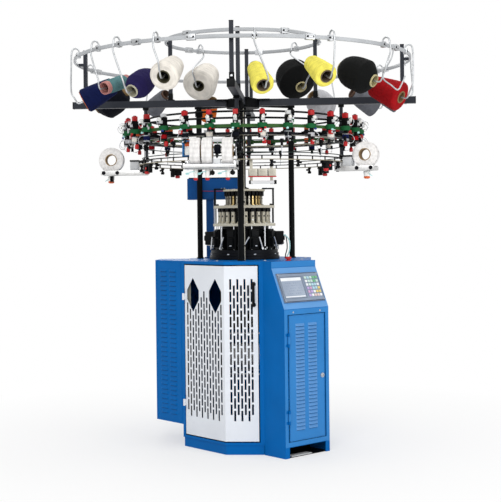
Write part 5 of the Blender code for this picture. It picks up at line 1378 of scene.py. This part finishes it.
def elastane_unit(name, degrees, reach, length, centres):
    """Two rollers in an aluminium frame, with a guide cup, wheel and paddle under each bobbin."""
    turn = around(degrees)
    middle = sum(centres) / len(centres)
    level = BOBBIN_LEVEL - math.sqrt((BOBBIN + ROLLER + 0.0003) ** 2 - ROLLER_SPREAD ** 2)
    end, inner = reach + ROLLER_SPREAD + 0.014, 0.512
    hanger = inner + 0.017
    single = len(centres) == 1
    stand, rollers, wheels, screws, cups, tips, paddles = (
        new(f"elastane_{name}_{part}", material,
            replaces=("elastane_unit_" + name,) if part == "frame" else ())
        for part, material in (("frame", ALUMINIUM), ("rollers", STEEL), ("wheels", INK),
                               ("screws", DARK_STEEL), ("cups", CERAMIC), ("tips", ORANGE if single else RED),
                               ("paddles", CYAN_LENS)))
    for side in (-1, 1):
        x = middle + side * length / 2
        boxes(turn, (stand, (0.008, end - inner, 0.024), (x, -(end + inner) / 2, level), 0.0015),
              (stand, (0.008, 0.034, 1.4397 - level), (x, -hanger, (1.4397 + level) / 2)),
              (stand, (0.022, 0.034, 0.004), (x, -hanger, 1.4377)))
        for y, radius, height in ((ROLLER_SPREAD - reach, 0.0058, 0.005),
                                  (-ROLLER_SPREAD - reach, 0.0058, 0.005),
                                  (-inner - 0.01, 0.0032, 0.003), (0.012 - end, 0.0032, 0.003)):
            bolt(screws, turn @ at(x + side * 0.004, y, level) @ sideways(side), radius, height)
        start = turn @ at(middle - length / 2, side * ROLLER_SPREAD - reach, level) @ sideways()
        lathe(rollers, [(0, 0.001), (0.0095, 0.001), (0.0095, 0.006), (ROLLER, 0.007),
                        (ROLLER, length - 0.007),
                        (0.0095, length - 0.006), (0.0095, length - 0.001), (0, length - 0.001)], start, 28)
    boxes(turn, (stand, (length, 0.02, 0.008), (middle, -reach, level - 0.012)),
          (stand, (length + 0.01, 0.006, 0.016), (middle, 0.001 - end, level - 0.002)))
    rim_radius = 0.0165 if single else 0.0115
    for x in centres:
        guide_cup(cups, tips, turn @ at(x, -reach - 0.004, level - 0.016), single)
        axle = turn @ at(x + 0.022, 0.004 - reach, level)
        lathe(wheels, [(0, -0.008), (rim_radius, -0.008), (rim_radius, -0.004), (rim_radius - 0.004, 0),
                       (rim_radius, 0.004), (rim_radius, 0.008), (0, 0.008)],
                       axle @ at(0, 0, -0.032) @ OUTWARDS, 28)
        rod(wheels, [(0, 0, -0.014), (0, 0, -0.034)], 0.003, place=axle)
        under = turn @ at(x, -reach, level)
        stem = [(-0.006, -0.014, -0.026), (-0.024, -0.026, -0.030), (-0.034, -0.032, -0.036)]
        rod(paddles, smooth_path(stem, 5), 0.0022, 8, end_radius=0.0016, place=under)
        lathe(paddles, [(0, -0.0014), (0.009, -0.0014), (0.01, 0), (0.009, 0.0014), (0, 0.0014)],
              under @ at(-0.036, -0.034, -0.037) @ Matrix.Rotation(0.5, 4, "X"), 20)
    if single:
        elastane_gearbox(name, turn, middle, level)
    else:
        elastane_brake(turn, reach, level)
    for index, x in enumerate(centres):
        elastane_bobbin(name if single else f"{name}_{index + 1}",
                        turn @ at(x, -reach, BOBBIN_LEVEL) @ sideways())


# Creel frame

def creel_details():
    """End caps, joint plates and bolts of the crossed arms and their uprights."""
    caps, plates = new("creel_caps", INK, slot="dark_plastic"), new("creel_plates", BLACK)
    bolts = new("creel_bolts", ZINC)
    for turn in map(around, QUARTERS):
        boxes(turn, (caps, (ARM + 0.002, 0.004, ARM + 0.002), (0, -0.9015, ARM_LEVEL)),
              *((plates, (0.026, 0.07, 0.005), (x, -0.108, ARM_TOP - 0.0035)) for x in (-0.03, 0.03)),
              (plates, (0.03, 0.03, 0.004), (0, -HANGER_CIRCLE, ARM_FOOT - 0.002)))
        for reach, top in ((0.835, 2.055), (0.382, 2.102)):
            boxes(turn, (plates, (0.03, 0.044, 0.004), (0, -reach, ARM_TOP + 0.002)),
                  (plates, (0.0235, 0.0235, 0.034), (0, -reach, ARM_TOP + 0.021)),
                  (caps, (0.0215, 0.0215, 0.004), (0, -reach, top + 0.0018)))
            for y in (-0.016, 0.016):
                bolt(bolts, turn @ at(0, y - reach, ARM_TOP + 0.004))
            screw(bolts, turn, 0, ARM_TOP + 0.022, -reach - 0.0118, 0.0032, 0.003)
    for degrees in range(0, 360, 45):
        bolt(bolts, around(degrees + 22.5) @ at(0, -0.066, ARM_TOP), 0.0055, 0.005)


# Staging

def camera():
    data = bpy.data.cameras.new("camera")
    view = bpy.data.objects.new("camera", data)
    bpy.context.scene.collection.objects.link(view)
    azimuth = math.radians(CAMERA_AZIMUTH)
    view.location = (CAMERA_DISTANCE * math.sin(azimuth), -CAMERA_DISTANCE * math.cos(azimuth), CAMERA_LEVEL)
    view.rotation_euler = (around(CAMERA_AZIMUTH) @ OUTWARDS @ around(-CAMERA_ROLL)).to_euler()
    data.sensor_width = SENSOR
    data.lens = FOCAL_PIXELS / PHOTO_HEIGHT * SENSOR
    data.shift_x = AXIS_OFFSET / PHOTO_HEIGHT
    data.shift_y = HORIZON_OFFSET / PHOTO_HEIGHT
    bpy.context.scene.camera = view


def area_light(name, place, target, side, power):
    data = bpy.data.lights.new(name, "AREA")
    data.shape = "RECTANGLE"
    data.size = data.size_y = side
    data.energy = power
    lamp = bpy.data.objects.new(name, data)
    bpy.context.scene.collection.objects.link(lamp)
    lamp.location = place
    lamp.rotation_euler = (Vector(target) - Vector(place)).to_track_quat("-Z", "Y").to_euler()


def studio_floor():
    """A pale floor that the camera sees turn white away from the machine."""
    bm = bmesh.new()
    bmesh.ops.create_circle(bm, cap_ends=True, segments=96, radius=12)
    mesh = bpy.data.meshes.new("floor")
    bm.to_mesh(mesh)
    bm.free()
    floor = bpy.data.objects.new("floor", mesh)
    bpy.context.scene.collection.objects.link(floor)
    nodes = finish("pale_floor", Roughness=0.9, Base_Color=(0.86, 0.86, 0.86, 1))
    far = nodes.add("ShaderNodeVectorMath", operation="LENGTH")
    nodes.link(nodes.position(), far.inputs[0])
    edge = nodes.add("ShaderNodeMapRange")
    for key, value in (("From Min", 0.7), ("From Max", 2.2), ("To Min", 0.55)):
        edge.inputs[key].default_value = value
    nodes.link(far.outputs["Value"], edge.inputs["Value"])
    nodes.mix(nodes.math("MULTIPLY", nodes.looked_at(), edge.outputs["Result"]), nodes.shader.outputs["BSDF"],
              nodes.add("ShaderNodeEmission").outputs["Emission"], nodes.tree.nodes["Material Output"])
    mesh.materials.append(nodes.owner)


def studio():
    """Soft light from all round, a white backdrop for the camera, and four area lights."""
    world = bpy.data.worlds.new("studio")
    bpy.context.scene.world = world
    nodes = Nodes(world)
    nodes.tree.nodes.clear()
    light, backdrop = nodes.add("ShaderNodeBackground"), nodes.add("ShaderNodeBackground")
    light.inputs["Strength"].default_value = 0.62
    for source in (light, backdrop):
        source.inputs["Color"].default_value = (1, 1, 1, 1)
    nodes.mix(nodes.looked_at(), light.outputs[0], backdrop.outputs[0], nodes.add("ShaderNodeOutputWorld"))
    area_light("key", (-0.7, -4.9, 3.5), (0, 0, 1.2), 2.2, 95)
    area_light("fill", (3.6, -3.2, 1.8), (0, 0, 1.0), 2.4, 55)
    area_light("top", (0.3, 0.6, 4.6), (0, 0, 1.4), 2.6, 45)
    area_light("rim", (-1.2, 4.0, 2.6), (0, 0, 1.4), 2.0, 35)
    bpy.context.scene.view_settings.view_transform = "Standard"


for step in (finish_nodes, camera, studio_floor, studio, base_details, back_panels, door_details,
             console_sheets, console_door, console_panel, console_inside, selector_heads, head_top, actuators,
             side_actuators, drive_details, take_down, feeder_ring, belt, guide_rings, lower_ring,
             ring_fittings, creel_details, creel_rings):
    step()
elastane_unit("left", -90, 0.7, 0.086, (0.0,))
elastane_unit("right", 72, 0.665, 0.086, (0.0,))
elastane_unit("front", 0, 0.66, 0.24, (-0.187, -0.131, -0.035))
finish_pieces()
